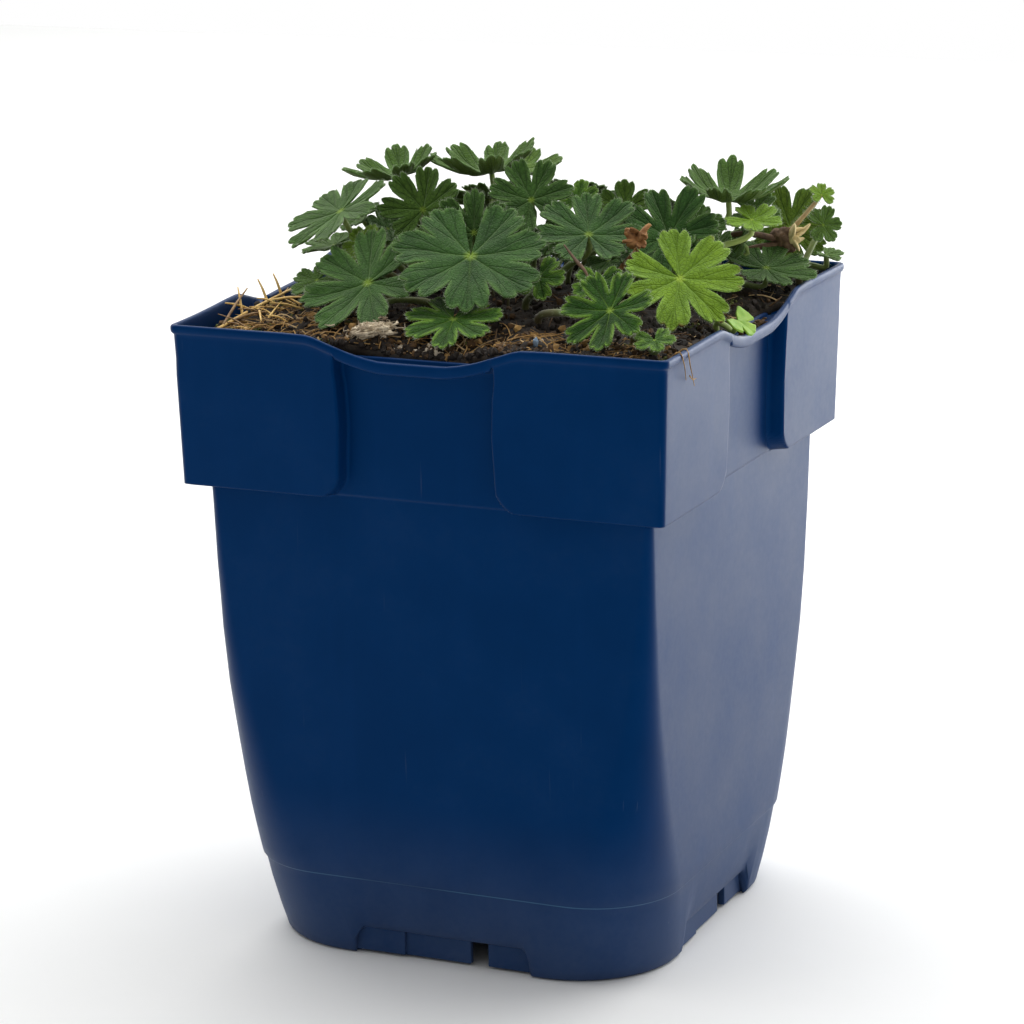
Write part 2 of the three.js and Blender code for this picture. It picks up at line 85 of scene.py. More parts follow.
def in_scene(name, data):
    """An object for a mesh, light or camera, linked to the scene."""
    made = bpy.data.objects.new(name, data)
    bpy.context.scene.collection.objects.link(made)
    return made


def mesh_in_scene(name, bm, materials=()):
    mesh = bpy.data.meshes.new(name)
    bm.to_mesh(mesh)
    bm.free()
    for m in materials:
        mesh.materials.append(m)
    return in_scene(name, mesh)


def finish_piece(name, bm, materials, replaced=()):
    """Scales the millimetre mesh to metres and hands it over as a piece of the model."""
    bmesh.ops.scale(bm, vec=(MM, MM, MM), verts=bm.verts[:])
    piece = mesh_in_scene(name, bm, materials)
    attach(piece, "root")
    if replaced:
        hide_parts(*replaced)
    return piece


def tube(bm, points, radii, sides, steps, material=0):
    """A closed round tube along a list of points; radii are spread evenly along it.

    Returns the points of its middle line, each with two directions square to it.
    """
    path = smooth_path(points, steps)
    frames = []
    up = Vector((0, 0, 1)) if abs((path[1] - path[0]).normalized().z) < 0.9 else Vector((1, 0, 0))
    for i, p in enumerate(path):
        forward = (path[min(i + 1, len(path) - 1)] - path[max(i - 1, 0)]).normalized()
        side = (up - forward * up.dot(forward)).normalized()
        frames.append((p, side, forward.cross(side)))
        up = side
    last = len(path) - 1

    def radius(t):
        k = t * (len(radii) - 1)
        i = min(int(k), len(radii) - 2)
        return radii[i] + (radii[i + 1] - radii[i]) * (k - i)

    def place(u, v):
        row = round(v * (last + 2))
        i = min(max(row - 1, 0), last)
        p, side, other = frames[i]
        r = 0.0 if row in (0, last + 2) else radius(i / last)
        a = 2 * math.pi * u
        return p + side * (r * math.cos(a)) + other * (r * math.sin(a))

    points, _ = bent_grid(bm, sides, last + 2, place, material=material)
    bmesh.ops.remove_doubles(bm, verts=points, dist=1e-4)
    return frames


PER_SPAN = 20                      # points between two given ones, before they are spaced evenly


def smooth_path(points, steps):
    """Evenly spaced points on a smooth curve through the given ones (centripetal spline)."""
    pts = [Vector(p) for p in points]
    if len(pts) == 2:
        return [pts[0].lerp(pts[1], i / steps) for i in range(steps + 1)]
    pts = [pts[0] * 2 - pts[1]] + pts + [pts[-1] * 2 - pts[-2]]
    dense = []
    for k in range(1, len(pts) - 2):
        a, b, c, d = pts[k - 1:k + 3]
        t0, t1, t2 = [max((q - p).length, 1e-6) ** 0.5 for p, q in ((a, b), (b, c), (c, d))]
        m1 = ((b - a) / t0 - (c - a) / (t0 + t1) + (c - b) / t1) * t1
        m2 = ((c - b) / t1 - (d - b) / (t1 + t2) + (d - c) / t2) * t1
        for i in range(PER_SPAN):
            t = i / PER_SPAN
            dense.append(b * (2 * t**3 - 3 * t**2 + 1) + m1 * (t**3 - 2 * t**2 + t)
                         + c * (3 * t**2 - 2 * t**3) + m2 * (t**3 - t**2))
    dense.append(pts[-2])
    lengths = [0.0]
    for p, q in zip(dense, dense[1:]):
        lengths.append(lengths[-1] + (q - p).length)
    out, k = [], 0
    for i in range(steps + 1):
        target = lengths[-1] * i / steps
        while k < len(dense) - 2 and lengths[k + 1] < target:
            k += 1
        span = lengths[k + 1] - lengths[k]
        out.append(dense[k].lerp(dense[k + 1], (target - lengths[k]) / span if span else 0))
    return out


def scatter(bm, template, placements, material=0, smooth=False):
    """Copies a small template mesh to each placement matrix, all into bm."""
    mesh = bpy.data.meshes.new("scatter")
    base = [v.co.copy() for v in template.verts]
    shape = [[v.index for v in f.verts] for f in template.faces]
    verts, faces = [], []
    for m in placements:
        start = len(verts)
        verts += [m @ co for co in base]
        faces += [[start + i for i in f] for f in shape]
    mesh.from_pydata(verts, [], faces)
    for polygon in mesh.polygons:
        polygon.material_index = material
        polygon.use_smooth = smooth
    bm.from_mesh(mesh)
    bpy.data.meshes.remove(mesh)


def aimed(place, direction, width, length, roll=0.0):
    """A matrix that lays a template's Z along a direction, with its width and length."""
    turn = direction.to_track_quat("Z", "Y").to_matrix().to_4x4()
    return (Matrix.Translation(place) @ turn @ Matrix.Rotation(roll, 4, "Z")
            @ Matrix.Diagonal((width, width, length, 1)))


print("helpers ready")

# %% [markdown]
# ## Helpers for materials
# A material is a small network of nodes. Written out link by link it gets long, so `Nodes`
# keeps the network at hand and makes each node with one short call. Effects that several
# finishes share are node groups, built once.


# %% Helpers for materials
class Nodes:
    """The nodes of one material or group. Values may be plain numbers or the output of a node."""

    def __init__(self, tree):
        self.tree = tree

    def add(self, kind, inputs=None, **settings):
        node = self.tree.nodes.new(kind)
        for key, value in settings.items():
            setattr(node, key, value)
        for key, value in (inputs or {}).items():
            self.feed(node.inputs[key], value)
        return node

    def feed(self, socket, value):
        if isinstance(value, bpy.types.NodeSocket):
            self.tree.links.new(value, socket)
        else:
            socket.default_value = value

    def math(self, operation, a, b=0.0):
        return self.add("ShaderNodeMath", {0: a, 1: b}, operation=operation).outputs[0]

    def times(self, a, b):
        return self.math("MULTIPLY", a, b)

    def plus(self, a, b):
        return self.math("ADD", a, b)

    def minus(self, a, b):
        return self.math("SUBTRACT", a, b)

    def most(self, a, b):
        return self.math("MAXIMUM", a, b)

    def object_place(self):
        return self.add("ShaderNodeTexCoord").outputs["Object"]

    def axis(self, vector, k):
        return self.add("ShaderNodeSeparateXYZ", {0: vector}).outputs[k]

    def cells(self, scale, feature="F1"):
        """Distance to the middles, or with another feature to the edges, of scattered cells."""
        return self.add("ShaderNodeTexVoronoi", {"Vector": self.object_place(), "Scale": scale},
                        feature=feature).outputs["Distance"]

    def remap(self, value, low, high, to_low=0.0, to_high=1.0, smooth=False):
        node = self.add("ShaderNodeMapRange", {"Value": value, "From Min": low, "From Max": high,
                                               "To Min": to_low, "To Max": to_high},
                        interpolation_type="SMOOTHSTEP" if smooth else "LINEAR")
        return node.outputs["Result"]

    def mix(self, factor, a, b):
        return self.add("ShaderNodeMix", {"Factor": factor, 6: a, 7: b}, data_type="RGBA").outputs[2]

    def noise(self, scale, detail=4.0, rough=0.55, vector=None):
        vector = vector or self.object_place()
        return self.add("ShaderNodeTexNoise", {"Vector": vector, "Scale": scale, "Detail": detail,
                                               "Roughness": rough}).outputs["Fac"]

    def bump(self, height, strength, distance):
        return self.add("ShaderNodeBump", {"Height": height, "Strength": strength,
                                           "Distance": distance}).outputs["Normal"]


def new_material(name, viewport_color, **shader):
    """A material with a Principled shader; plain values go straight on its sockets."""
    m = bpy.data.materials.new(name)
    m.use_nodes = True
    m.diffuse_color = (*viewport_color, 1)
    nodes = Nodes(m.node_tree)
    principled = m.node_tree.nodes["Principled BSDF"]
    principled.inputs["Base Color"].default_value = (*viewport_color, 1)
    for key, value in shader.items():
        principled.inputs[key.replace("_", " ")].default_value = value
    return m, nodes, principled


def new_group(name, inputs, outputs):
    tree = bpy.data.node_groups.new(name, "ShaderNodeTree")
    for label, kind, value in inputs:
        socket = tree.interface.new_socket(label, in_out="INPUT", socket_type=kind)
        if value is not None:
            socket.default_value = value
    for label, kind in outputs:
        tree.interface.new_socket(label, in_out="OUTPUT", socket_type=kind)
    nodes = Nodes(tree)
    return tree, nodes, nodes.add("NodeGroupInput"), nodes.add("NodeGroupOutput")


# %% [markdown]
# ## Shared effect: grain
# Skin, plastic, soil and wood all have a fine grain on a coarse one. One group mixes two
# noises and gives back a value round one half, so each finish only says how large its
# grain is.


# %% Grain group
grain_group, g, g_in, g_out = new_group(
    "two_scale_grain",
    [("Coarse Scale", "NodeSocketFloat", 100.0), ("Fine Scale", "NodeSocketFloat", 900.0),
     ("Fine Share", "NodeSocketFloat", 0.4)],
    [("Value", "NodeSocketFloat"), ("Coarse", "NodeSocketFloat")])
coarse = g.noise(g_in.outputs["Coarse Scale"], 5.0, 0.6)
fine = g.noise(g_in.outputs["Fine Scale"], 3.0, 0.6)
fine_share = g_in.outputs["Fine Share"]
g.feed(g_out.inputs["Value"], g.plus(g.times(coarse, g.minus(1.0, fine_share)),
                                     g.times(fine, fine_share)))
g.feed(g_out.inputs["Coarse"], coarse)


def grain(nodes, coarse_scale, fine_scale, share=0.4):
    node = nodes.add("ShaderNodeGroup", node_tree=grain_group)
    node.inputs["Coarse Scale"].default_value = coarse_scale
    node.inputs["Fine Scale"].default_value = fine_scale
    node.inputs["Fine Share"].default_value = share
    return node.outputs["Value"], node.outputs["Coarse"]


print("grain group ready")

# %% [markdown]
# ## The pot's plastic
# The pot is moulded from navy blue polypropylene. It has a satin gloss, a very faint flow
# pattern, and after months on a nursery bed it carries dust, lime specks and fine scratches.
# The blue itself hardly changes; what makes it read as plastic is a roughness that varies
# softly, and small marks that are a little paler and rougher than the rest.

# %% Pot plastic
pot_blue, n, shader = new_material("pot_navy_plastic", (0.001, 0.018, 0.088), Roughness=0.4,
                                  Specular_IOR_Level=0.30)
shader.inputs["Specular Tint"].default_value = (0.02, 0.25, 0.8, 1)   # a blue gloss seen head-on
object_place = n.object_place()
value, cloud = grain(n, 45.0, 700.0, 0.3)
long_streaks = n.noise(160.0, 3.0, 0.5, n.add("ShaderNodeMapping", {
    "Vector": object_place, "Scale": (1.0, 1.0, 0.06)}).outputs[0])
blue = n.mix(n.remap(cloud, 0.35, 0.7), (0.0001, 0.0190, 0.082, 1), (0.0003, 0.0230, 0.096, 1))
blue = n.mix(n.remap(long_streaks, 0.55, 0.75, 0, 0.2), blue, (0.003, 0.030, 0.120, 1))
height = n.axis(object_place, 2)
# Paler, greyer and rougher towards the foot of the pot, fading out by 40 mm up.
low_paling = n.times(n.remap(height, 0.040, 0.004, smooth=True), n.remap(value, 0.3, 0.7, 0.10, 0.22))
SEAM_HEIGHT = 0.0179
# Painted highlight: a thin paler blue line along the parting seam, where its small ridge catches the light.
seam_highlight = n.times(n.remap(n.math("ABSOLUTE", n.minus(height, SEAM_HEIGHT)), 0.00022, 0.00008),
               n.remap(n.noise(30.0, 2.0), 0.35, 0.6, 0.05, 0.5))
speck = n.times(n.remap(n.cells(95.0), 0.045, 0.025), n.remap(n.noise(28.0, 2.0), 0.60, 0.66))
scratches = n.noise(900.0, 2.0, 0.5, n.add("ShaderNodeMapping", {
    "Vector": object_place, "Rotation": (0.3, 0.5, 0.2), "Scale": (1.0, 1.0, 0.012)}).outputs[0])
scratch = n.times(n.remap(scratches, 0.70, 0.74), n.remap(n.noise(40.0), 0.5, 0.62))
# Random dust, together with the paler band at the foot.
dust_and_low_paling = n.most(low_paling, n.times(n.remap(value, 0.52, 0.8), 0.03))
marks = n.most(n.times(speck, 0.32), n.most(n.times(scratch, 0.10), dust_and_low_paling))
# The painted seam highlight goes into the blue.
blue = n.mix(seam_highlight, blue, (0.06, 0.22, 0.36, 1))
n.feed(shader.inputs["Base Color"], n.mix(marks, blue, (0.16, 0.19, 0.25, 1)))
n.feed(shader.inputs["Roughness"], n.plus(n.remap(value, 0.3, 0.7, 0.34, 0.47), n.times(marks, 0.6)))
n.feed(shader.inputs["Normal"], n.bump(n.plus(value, n.times(scratch, 0.3)), 0.12, 0.00012))
print("pot plastic ready")

# %% [markdown]
# ## The pot
# A square pot looks simple, but its charm is in the moulding: the walls taper and the corners
# grow rounder towards the foot, four blocks stand out under the rim, and the rim sinks in the
# middle of each side. It could be cut and joined from boxes, but every edge would then be
# razor sharp. One skin that runs up the outside, over the rim and down the inside gives the
# soft edges of a moulding, so a grid is wrapped round the pot: its columns go round, its rows
# go up, over and back.

# %% Pot: measures and the way round a ring
RIM_DIP, POT_HEIGHT, FLOOR = 4.6, 136.0, 5.9
BODY = [(0, 43.7, 22.7), (0.15, 44.2, 23), (0.5, 44.6, 23.3), (0.9, 44.9, 23.4), (3, 45.3, 23.2),
        (5.5, 45.8, 22.9), (8, 46.2, 22.6), (12, 46.75, 21.7), (16, 47.2, 21), (17.6, 47.38, 20.6),
        (17.8, 47.45, 20.55), (18.0, 47.68, 20.4), (18.2, 47.76, 20.3), (21, 47.9, 19.2), (25, 48.1, 17.8),
        (30, 48.3, 16), (37, 48.5, 13.8), (45, 48.7, 11.5), (52, 48.87, 9.6), (58, 49, 8), (64, 49.1, 7),
        (70, 49.2, 6), (78, 49.28, 5.2), (85, 49.35, 4.4), (92, 49.4, 3.9), (98, 49.45, 3.5),
        (100.3, 49.48, 3.3), (101.1, 49.5, 3.2)]
BLOCK_FOOT = 101.8                 # height at which the blocks begin
BAND = [BLOCK_FOOT + up for up in (-0.4, -0.2, 0, 0.2, 0.4, 0.7, 1.1, 1.6, 2.1, 2.6, 3.2, 3.8, 4.4, 5.1,
                                   6, 7.5, 9.5, 11.5, 13.5, 15.5, 17.5, 19.5, 21.5, 23.5)]
# Over the rim and down inside: (half-width, height) where the lip sinks, then at the blocks.
OVER_RIM = [((50.7, 127.6), (54.3, 128.8)), ((50.75, 128.6), (54.36, 130.5)),
            ((50.9, 129.05), (54.42, 132.0)), ((51.5, 129.2), (54.46, 133.0)),
            ((53.1, 129.15), (54.5, 133.8)), ((53.45, 128.85), (54.6, 134.05)),
            ((53.75, 128.62), (54.8, 134.25)), ((54.3, 128.6), (54.95, 134.55)),
            ((54.68, 128.8), (55.0, 134.9)), ((54.8, 129.2), (55.0, 135.25)),
            ((54.8, 130.5), (54.97, 135.6)), ((54.66, 130.95), (54.8, 135.88)),
            ((54.3, 131.18), (54.5, 136.0)), ((53.9, 131.15), (54.2, 135.97)),
            ((53.6, 130.85), (53.95, 135.8)), ((53.45, 130.55), (53.8, 135.4)),
            ((53.0, 130.4), (53.7, 134.8)), ((51.6, 130.4), (53.6, 133.8)),
            ((51.05, 130.65), (53.55, 132.6)), ((50.9, 130.9), (53.5, 131.4)),
            ((50.86, 131.2), (53.45, 130.2)), ((50.7, 131.5), (53.4, 129.0)),
            ((50.35, 131.6), (53.35, 127.8)), ((49.95, 131.5), (53.3, 126.6)),
            ((49.72, 131.2), (53.25, 125.4)), ((49.65, 130.4), (53.2, 124.0)),
            ((49.6, 128.0), (53.1, 122.0)), ((49.5, 124.0), (52.9, 119.0))]
INSIDE = [(112, 48.4, 2.2), (60, 47.8, 6.8), (25, 46.5, 16), (9.5, 45, 20.5), (7.6, 44, 20.4),
          (7.1, 43, 20), (7.1, 20, 10), (7.1, 4.6, 4.6), (6.9, 4, 4), (6.1, 4, 4), (5.9, 4.3, 4.3),
          (5.9, 15, 6)]
FLAT = 47.8                        # end of the flat stretch of a side, near the rim
ARC_STEPS = 12
BLOCK_EDGE, BLOCK_CORNER = 16.6, 5 # where a block begins on its side; radius of its lower corner
KEPT = 24                          # columns nearer to the middle than this can keep their place
GAP, GAP_TOP = 20.25, 4.6          # between two feet: half its length, and its height at the ends
SKIRT = 18                         # height over which the gaps between the feet fade out


def rim_height(s):
    return POT_HEIGHT - RIM_DIP * smooth_step(0, 1, (26 - abs(s)) / 20)


# Where the columns stand along half a side: close together at the edges of the blocks.
half_side = [0, 2.5, 5, 7.5, 10, 12, 13.5, 14.5]
half_side += [15.0 + 0.3 * i for i in range(9)] + [17.8 + 0.42 * i for i in range(12)]
half_side += [24, 28, 33, 38, 41.2, 42.0, 42.8, 43.6, 44.2, 44.8, 45.4, 46, 46.8, FLAT]
side_columns = [-q for q in reversed(half_side[1:])] + half_side
ring_columns = []                  # (side 0..3, place along the side, turn into the corner 0..1)
for side in range(4):
    ring_columns += [(side, q, 0.0) for q in side_columns]
    ring_columns += [(side, FLAT, i / ARC_STEPS) for i in range(1, ARC_STEPS)]
print("columns round the pot", len(ring_columns))


def on_ring(column, half, radius, z, fixed):
    """A point on a rounded square. Where `fixed` is 1, columns near the blocks keep their place."""
    side, q, turn = column
    flat = half - radius
    spread = q * flat / FLAT
    kept = q
    if abs(q) > KEPT:
        kept = math.copysign(KEPT + (abs(q) - KEPT) * (flat - KEPT) / (FLAT - KEPT), q)
    s = spread + (kept - spread) * fixed
    angle = turn * math.pi / 2
    x, y = s + radius * math.sin(angle), -(flat + radius * math.cos(angle))
    for _ in range(side):
        x, y = -y, x
    return Vector((x, y, z)), s


# %% [markdown]
# The blocks are not separate pieces. They are places where the same skin steps outwards by
# four millimetres. `block_share` says how far a point has stepped out: zero on the body, one on
# a block, and a quick smooth change between them that becomes the soft edge of the moulding.


# %% Pot: the blocks and the feet
def slanted(column, z):
    """Columns beside a block lean in towards the top, and the block's edge follows them."""
    side, q, turn = column
    near = smooth_step(8, 15, abs(q)) * smooth_step(24, 18, abs(q))
    return side, q + math.copysign((0.8 - 1.7 * (z - BLOCK_FOOT) / 34) * near, q), turn


def block_share(column, z):
    """0 between the blocks, 1 on a block; its lower corners are rounded."""
    _, q, turn = column
    straight = BLOCK_FOOT + BLOCK_CORNER
    if turn or (abs(q) >= BLOCK_EDGE + BLOCK_CORNER and z < straight):
        depth = z - BLOCK_FOOT
    elif z >= straight:
        depth = abs(q) - BLOCK_EDGE
    else:
        depth = BLOCK_CORNER - math.hypot(BLOCK_EDGE + BLOCK_CORNER - abs(q), straight - z)
    return smooth_step(-0.38, 0.38, depth)


def arch(column, s):
    """Height of the gap between two feet above the ground, at a column."""
    if column[2] or abs(s) > GAP:
        return 0.0
    if abs(s) > 19.8:
        return GAP_TOP * (GAP - abs(s)) / 0.45
    return GAP_TOP + 1.3 * smooth_step(19.8, 18.6, abs(s)) if abs(s) > 18.6 else FLOOR


def rim_sway(p):
    """The rim of a thin pot is never quite true: its far left corner leans out and up."""
    back, height = smooth_step(-55, 12, p.y), smooth_step(100, 133, p.z)
    left = max(0.0, -p.x / 55)
    return Vector((-1.8 * left * back, 0, (1.3 + 1.2 * left) * back)) * height


def pot_rows():
    """One function per row: column -> point."""
    rows = []
    for z, half, radius in BODY:
        def row(column, z=z, half=half, radius=max(1.8, radius - 1.5)):
            p, s = on_ring(column, half, radius, z, smooth_step(60, 98, z))
            if z < SKIRT:
                low = arch(column, s)
                p.z = low + z * (SKIRT - low) / SKIRT
            return p
        rows.append(row)
    for z in BAND:
        def row(column, z=z):
            share = smooth_step(-0.15, 0.35, z - BLOCK_FOOT)
            body = 49.5 + 0.35 * share + (z - BLOCK_FOOT) * 0.03 * share
            inner = on_ring(slanted(column, z), body, 2.4, z, 1)[0]
            outer = on_ring(slanted(column, z), 53.6 + 0.9 * (z - BLOCK_FOOT) / 32.5, 1.3, z, 1)[0]
            p = inner.lerp(outer, block_share(column, z))
            p += rim_sway(p)
            return p
        rows.append(row)
    for k, ((half_mid, z_mid), (half_block, z_block)) in enumerate(OVER_RIM):
        def row(column, k=k, hm=half_mid, zm=z_mid, hb=half_block, zb=z_block):
            dip = rim_height(column[1]) if not column[2] else POT_HEIGHT
            lip = (dip - 131.2) * smooth_step(0, 3, k) if k < 18 else 0.0
            if column[0] == 3 and 15 < k < 26 and not column[2]:     # left side: a raised inner wall
                lip += 2.8 * smooth_step(15, 20, k)
            low = on_ring(slanted(column, 134), hm, 2.4, zm + lip, 1)[0]
            sunk = (dip - POT_HEIGHT) * smooth_step(0, 4, k)
            high, s = on_ring(slanted(column, 134), hb, 1.5, zb + sunk, 1)
            inside = 1.0 if column[2] else smooth_step(11.5, 17.5, abs(s))
            deep = 1.0 if column[2] else smooth_step(17.4, 19.0, abs(s))
            inside += (deep - inside) * smooth_step(16.5, 20.5, k)   # below, it follows the outside
            share = block_share(column, 134)
            p = low.lerp(high, share + (inside - share) * smooth_step(8, 14, k))
            p += rim_sway(p)
            return p
        rows.append(row)
    for z, half, radius in INSIDE:
        def row(column, z=z, half=half, radius=radius):
            return on_ring(column, half, radius, z, smooth_step(100, 112, z))[0]
        rows.append(row)
    for height in (FLOOR, 0.0):    # up the inner walls of the feet, then out along their soles
        def row(column, height=height):
            p, s = on_ring(column, BODY[0][1], BODY[0][2], 0, 0)
            low = arch(column, s)
            near = min(abs(p.x), abs(p.y))
            if near > 20:
                p = p * (20 / near)
                p.z = max(height, low)
            else:
                far = max(abs(p.x), abs(p.y))
                p = p * ((41.5 if height else 42.5) / far)
                p.z = max(height if near > 19.8 else FLOOR, low)
            return p
        rows.append(row)
    return rows


# %% [markdown]
# Now the skin itself. The grid has one more row and column than needed, and the last ones land
# on the first, so merging close points sews both seams and the skin is closed like a tyre.

# %% Pot: wrap the skin
bm = bmesh.new()
rows = pot_rows()
count, height = len(ring_columns), len(rows)
bent_grid(bm, count, height, lambda u, v: rows[round(v * height) % height](
    ring_columns[round(u * count) % count]))
bmesh.ops.remove_doubles(bm, verts=bm.verts[:], dist=2e-3)
bmesh.ops.dissolve_degenerate(bm, edges=bm.edges[:], dist=2e-4)
bmesh.ops.recalc_face_normals(bm, faces=bm.faces[:])
print("pot skin", len(bm.faces), "faces, open edges", sum(e.is_boundary for e in bm.edges))
pot_shell = finish_piece("pot_shell", bm, [pot_blue], ["pot"])

# %% [markdown]
# ## Drain slots
# Water leaves through slots in the raised floor. They are cut out of the finished skin with
# four rounded bars and a Boolean modifier, whose result is applied so that the piece stays one
# plain mesh.

# %% Pot: drain slots
def side_bar(bm, side, size, place):
    """A bar with its middle at `place`, turned on to one of the pot's four sides."""
    made = bmesh.ops.create_cube(bm, size=1.0)["verts"]
    bmesh.ops.scale(bm, vec=size, verts=made)
    bmesh.ops.translate(bm, vec=place, verts=made)
    bmesh.ops.rotate(bm, cent=(0, 0, 0), matrix=Matrix.Rotation(side * math.pi / 2, 3, "Z"),
                     verts=made)
    return made


def edges_of(verts):
    return list(dict.fromkeys(e for v in verts for e in v.link_edges))


bm = bmesh.new()
for side in range(4):
    made = side_bar(bm, side, (11 * MM, 3.2 * MM, 5 * MM), (0, 29 * MM, 6.5 * MM))
    upright = [e for e in edges_of(made) if abs(e.verts[0].co.z - e.verts[1].co.z) > MM]
    bmesh.ops.bevel(bm, geom=upright, offset=1.2 * MM, segments=3, profile=0.5, affect="EDGES",
                    material=-1)
cutter = mesh_in_scene("slot_cutter", bm)
cut = pot_shell.modifiers.new("slots", "BOOLEAN")
cut.object, cut.operation, cut.solver = cutter, "DIFFERENCE", "EXACT"
cut_mesh = bpy.data.meshes.new_from_object(
    pot_shell.evaluated_get(bpy.context.evaluated_depsgraph_get()))
pot_shell.modifiers.clear()
pot_shell.data = cut_mesh          # the skin with its slots
bpy.data.objects.remove(cutter)
print("pot shell with slots", len(pot_shell.data.polygons), "faces")

# %% [markdown]
# ## Plates between the feet
# Between two feet the skirt is closed by set-back plates, with a narrow slot for the water.

# %% Pot: plates between the feet
PLATE_BACK, PLATE_HEIGHT, PLATE_MIDDLE = 41.8, 6.1, 3.6
bm = bmesh.new()
for side in range(4):
    # start, end, outer face, and how far a plate is drawn in so that no faces coincide
    for s0, s1, outer, inset in ((-20.6, 6, 43.2, 0), (-20.5, -9, 43.9, 0.1), (10, 20.6, 43.3, 0)):
        inner = PLATE_BACK + inset
        made = side_bar(bm, side, (s1 - s0, outer - inner, PLATE_HEIGHT - 2 * inset),
                        ((s0 + s1) / 2, -(outer + inner) / 2, PLATE_MIDDLE))
        bmesh.ops.bevel(bm, geom=edges_of(made), offset=0.2, segments=2, profile=0.5,
                        affect="EDGES", material=-1)
finish_piece("pot_foot_plates", bm, [pot_blue])
print("foot plates made")

# %% [markdown]
# ## Soil finish
# Potting compost is nearly black where it is moist, brown where it is dry, and full of ochre
# fibres. One material serves the plain block of soil below and the crumbly surface; its colour
# comes from two grains of different size and a sprinkle of light flecks.

# %% Soil materials
soil_dark, n, shader = new_material("soil_moist_compost", (0.035, 0.024, 0.017), Roughness=0.92)
value, cloud = grain(n, 190.0, 1500.0, 0.5)
earth = n.mix(n.remap(value, 0.36, 0.62), (0.002, 0.0015, 0.001, 1), (0.028, 0.017, 0.008, 1))
fleck = n.times(n.remap(n.cells(520.0), 0.24, 0.12), n.remap(cloud, 0.52, 0.60))
n.feed(shader.inputs["Base Color"], n.mix(n.times(fleck, 0.7), earth, (0.24, 0.13, 0.05, 1)))
n.feed(shader.inputs["Roughness"], n.remap(value, 0.3, 0.7, 0.82, 1.0))
n.feed(shader.inputs["Normal"], n.bump(value, 0.7, 0.0009))
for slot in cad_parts["soil"].material_slots:
    slot.material = soil_dark


def litter_material(name, dark, light, scale=900.0, rough=0.85):
    """Brown, ochre and straw bits: one colour that varies along each piece."""
    m, n, shader = new_material(name, dark, Roughness=rough)
    value, _ = grain(n, scale * 0.2, scale, 0.4)
    n.feed(shader.inputs["Base Color"], n.mix(n.remap(value, 0.35, 0.65), (*dark, 1), (*light, 1)))
    n.feed(shader.inputs["Normal"], n.bump(value, 0.5, 0.0002))
    return m


crumb_dark = litter_material("soil_crumb", (0.003, 0.002, 0.0015), (0.026, 0.015, 0.007))
crumb_brown = litter_material("soil_bark_brown", (0.010, 0.005, 0.002), (0.15, 0.078, 0.026))
fibre_ochre = litter_material("soil_fibre_ochre", (0.14, 0.068, 0.020), (0.58, 0.35, 0.11))
fibre_straw = litter_material("soil_fibre_straw", (0.38, 0.24, 0.10), (0.72, 0.53, 0.28))
grit_pale = litter_material("soil_grit_pale", (0.38, 0.31, 0.22), (0.75, 0.66, 0.52))
moss_green = litter_material("soil_moss", (0.045, 0.060, 0.010), (0.16, 0.18, 0.035))
granule_blue = litter_material("granule_blue", (0.10, 0.20, 0.32), (0.34, 0.46, 0.60))
print("soil materials ready")

# %% [markdown]
# ## Soil surface
# The plain block of soil keeps its place in the pot. Over it goes a crust with real lumps: a
# grid laid out inside the walls, raised by four sizes of noise, and given a thickness.

# %% Soil surface
SOIL_LEVEL, SOIL_MOUND = 134.2, 2.6
ROOM, BLOCK_ROOM = 49.5, 3.6       # half-width inside the pot, and how much more at the blocks
CRUST_CELLS, CRUST_THICKNESS = 170, 2.2


def soil_height(x, y):
    far, near = max(abs(x), abs(y)), min(abs(x), abs(y))
    edge = min(1.0, max(0.0, (far - 32) / 16))
    wall = min(SOIL_LEVEL, rim_height(near) + 0.3)
    corner = max(0.0, (-x - y - 66) / 30)
    middle = SOIL_LEVEL + SOIL_MOUND * math.exp(-(x * x + y * y) / 700)
    lump = math.sin(x * 0.31 + 1.3) * math.cos(y * 0.27 - 0.4) + 0.6 * math.sin(x * 0.83 - y * 0.61)
    return middle * (1 - edge) + wall * edge + 0.45 * (1 - 0.7 * edge) * lump - 2.2 * corner


def crust_height(x, y):
    p = Vector((x, y, 0))
    lumps = 1.3 * noise.noise(p * 0.16) + 1.15 * noise.noise(p * 0.42)
    crumbs = 0.75 * noise.noise(p * 1.05) + 0.4 * abs(noise.noise(p * 2.2))
    wall = smooth_step(47.0, 49.2, max(abs(x), abs(y)))
    return soil_height(x, y) + 0.55 - 0.45 * wall + (lumps + crumbs) * (1 - 0.6 * wall)


def inner_wall(s):
    """Half-width of the room inside the pot near the rim."""
    return ROOM + BLOCK_ROOM * smooth_step(12.2, 17.9, abs(s))


def crust_place(u, v):
    gx, gy = 2 * u - 1, 2 * v - 1
    x, y = gx * inner_wall(gy * 51), gy * inner_wall(gx * 51)
    return Vector((x, y, crust_height(x, y)))


bm = bmesh.new()
bent_grid(bm, CRUST_CELLS, CRUST_CELLS, crust_place)
top = bm.faces[:]
below = bmesh.ops.extrude_face_region(bm, geom=top, use_keep_orig=True)["geom"]
bmesh.ops.translate(bm, vec=(0, 0, -CRUST_THICKNESS),
                    verts=[v for v in below if isinstance(v, bmesh.types.BMVert)])
bmesh.ops.recalc_face_normals(bm, faces=bm.faces[:])
crust = finish_piece("soil_surface", bm, [soil_dark])
print("soil crust", len(crust.data.polygons), "faces")

# %% [markdown]
# ## Crumbs, fibres and moss
# What the eye reads as soil is thousands of small things lying on it. Each kind is modelled
# once, as a small template, and copied to many places with its own turn and size. All the
# copies of a kind are one mesh, because instances would be lost on export.


# %% Templates for litter
def crumb_template():
    bm = bmesh.new()
    bmesh.ops.create_icosphere(bm, subdivisions=1, radius=0.5)
    for v in bm.verts:
        v.co *= 1 + 0.9 * noise.noise(v.co * 3.1 + Vector((0.6, 0, 0)))
        v.co.z *= 0.6
    return bm


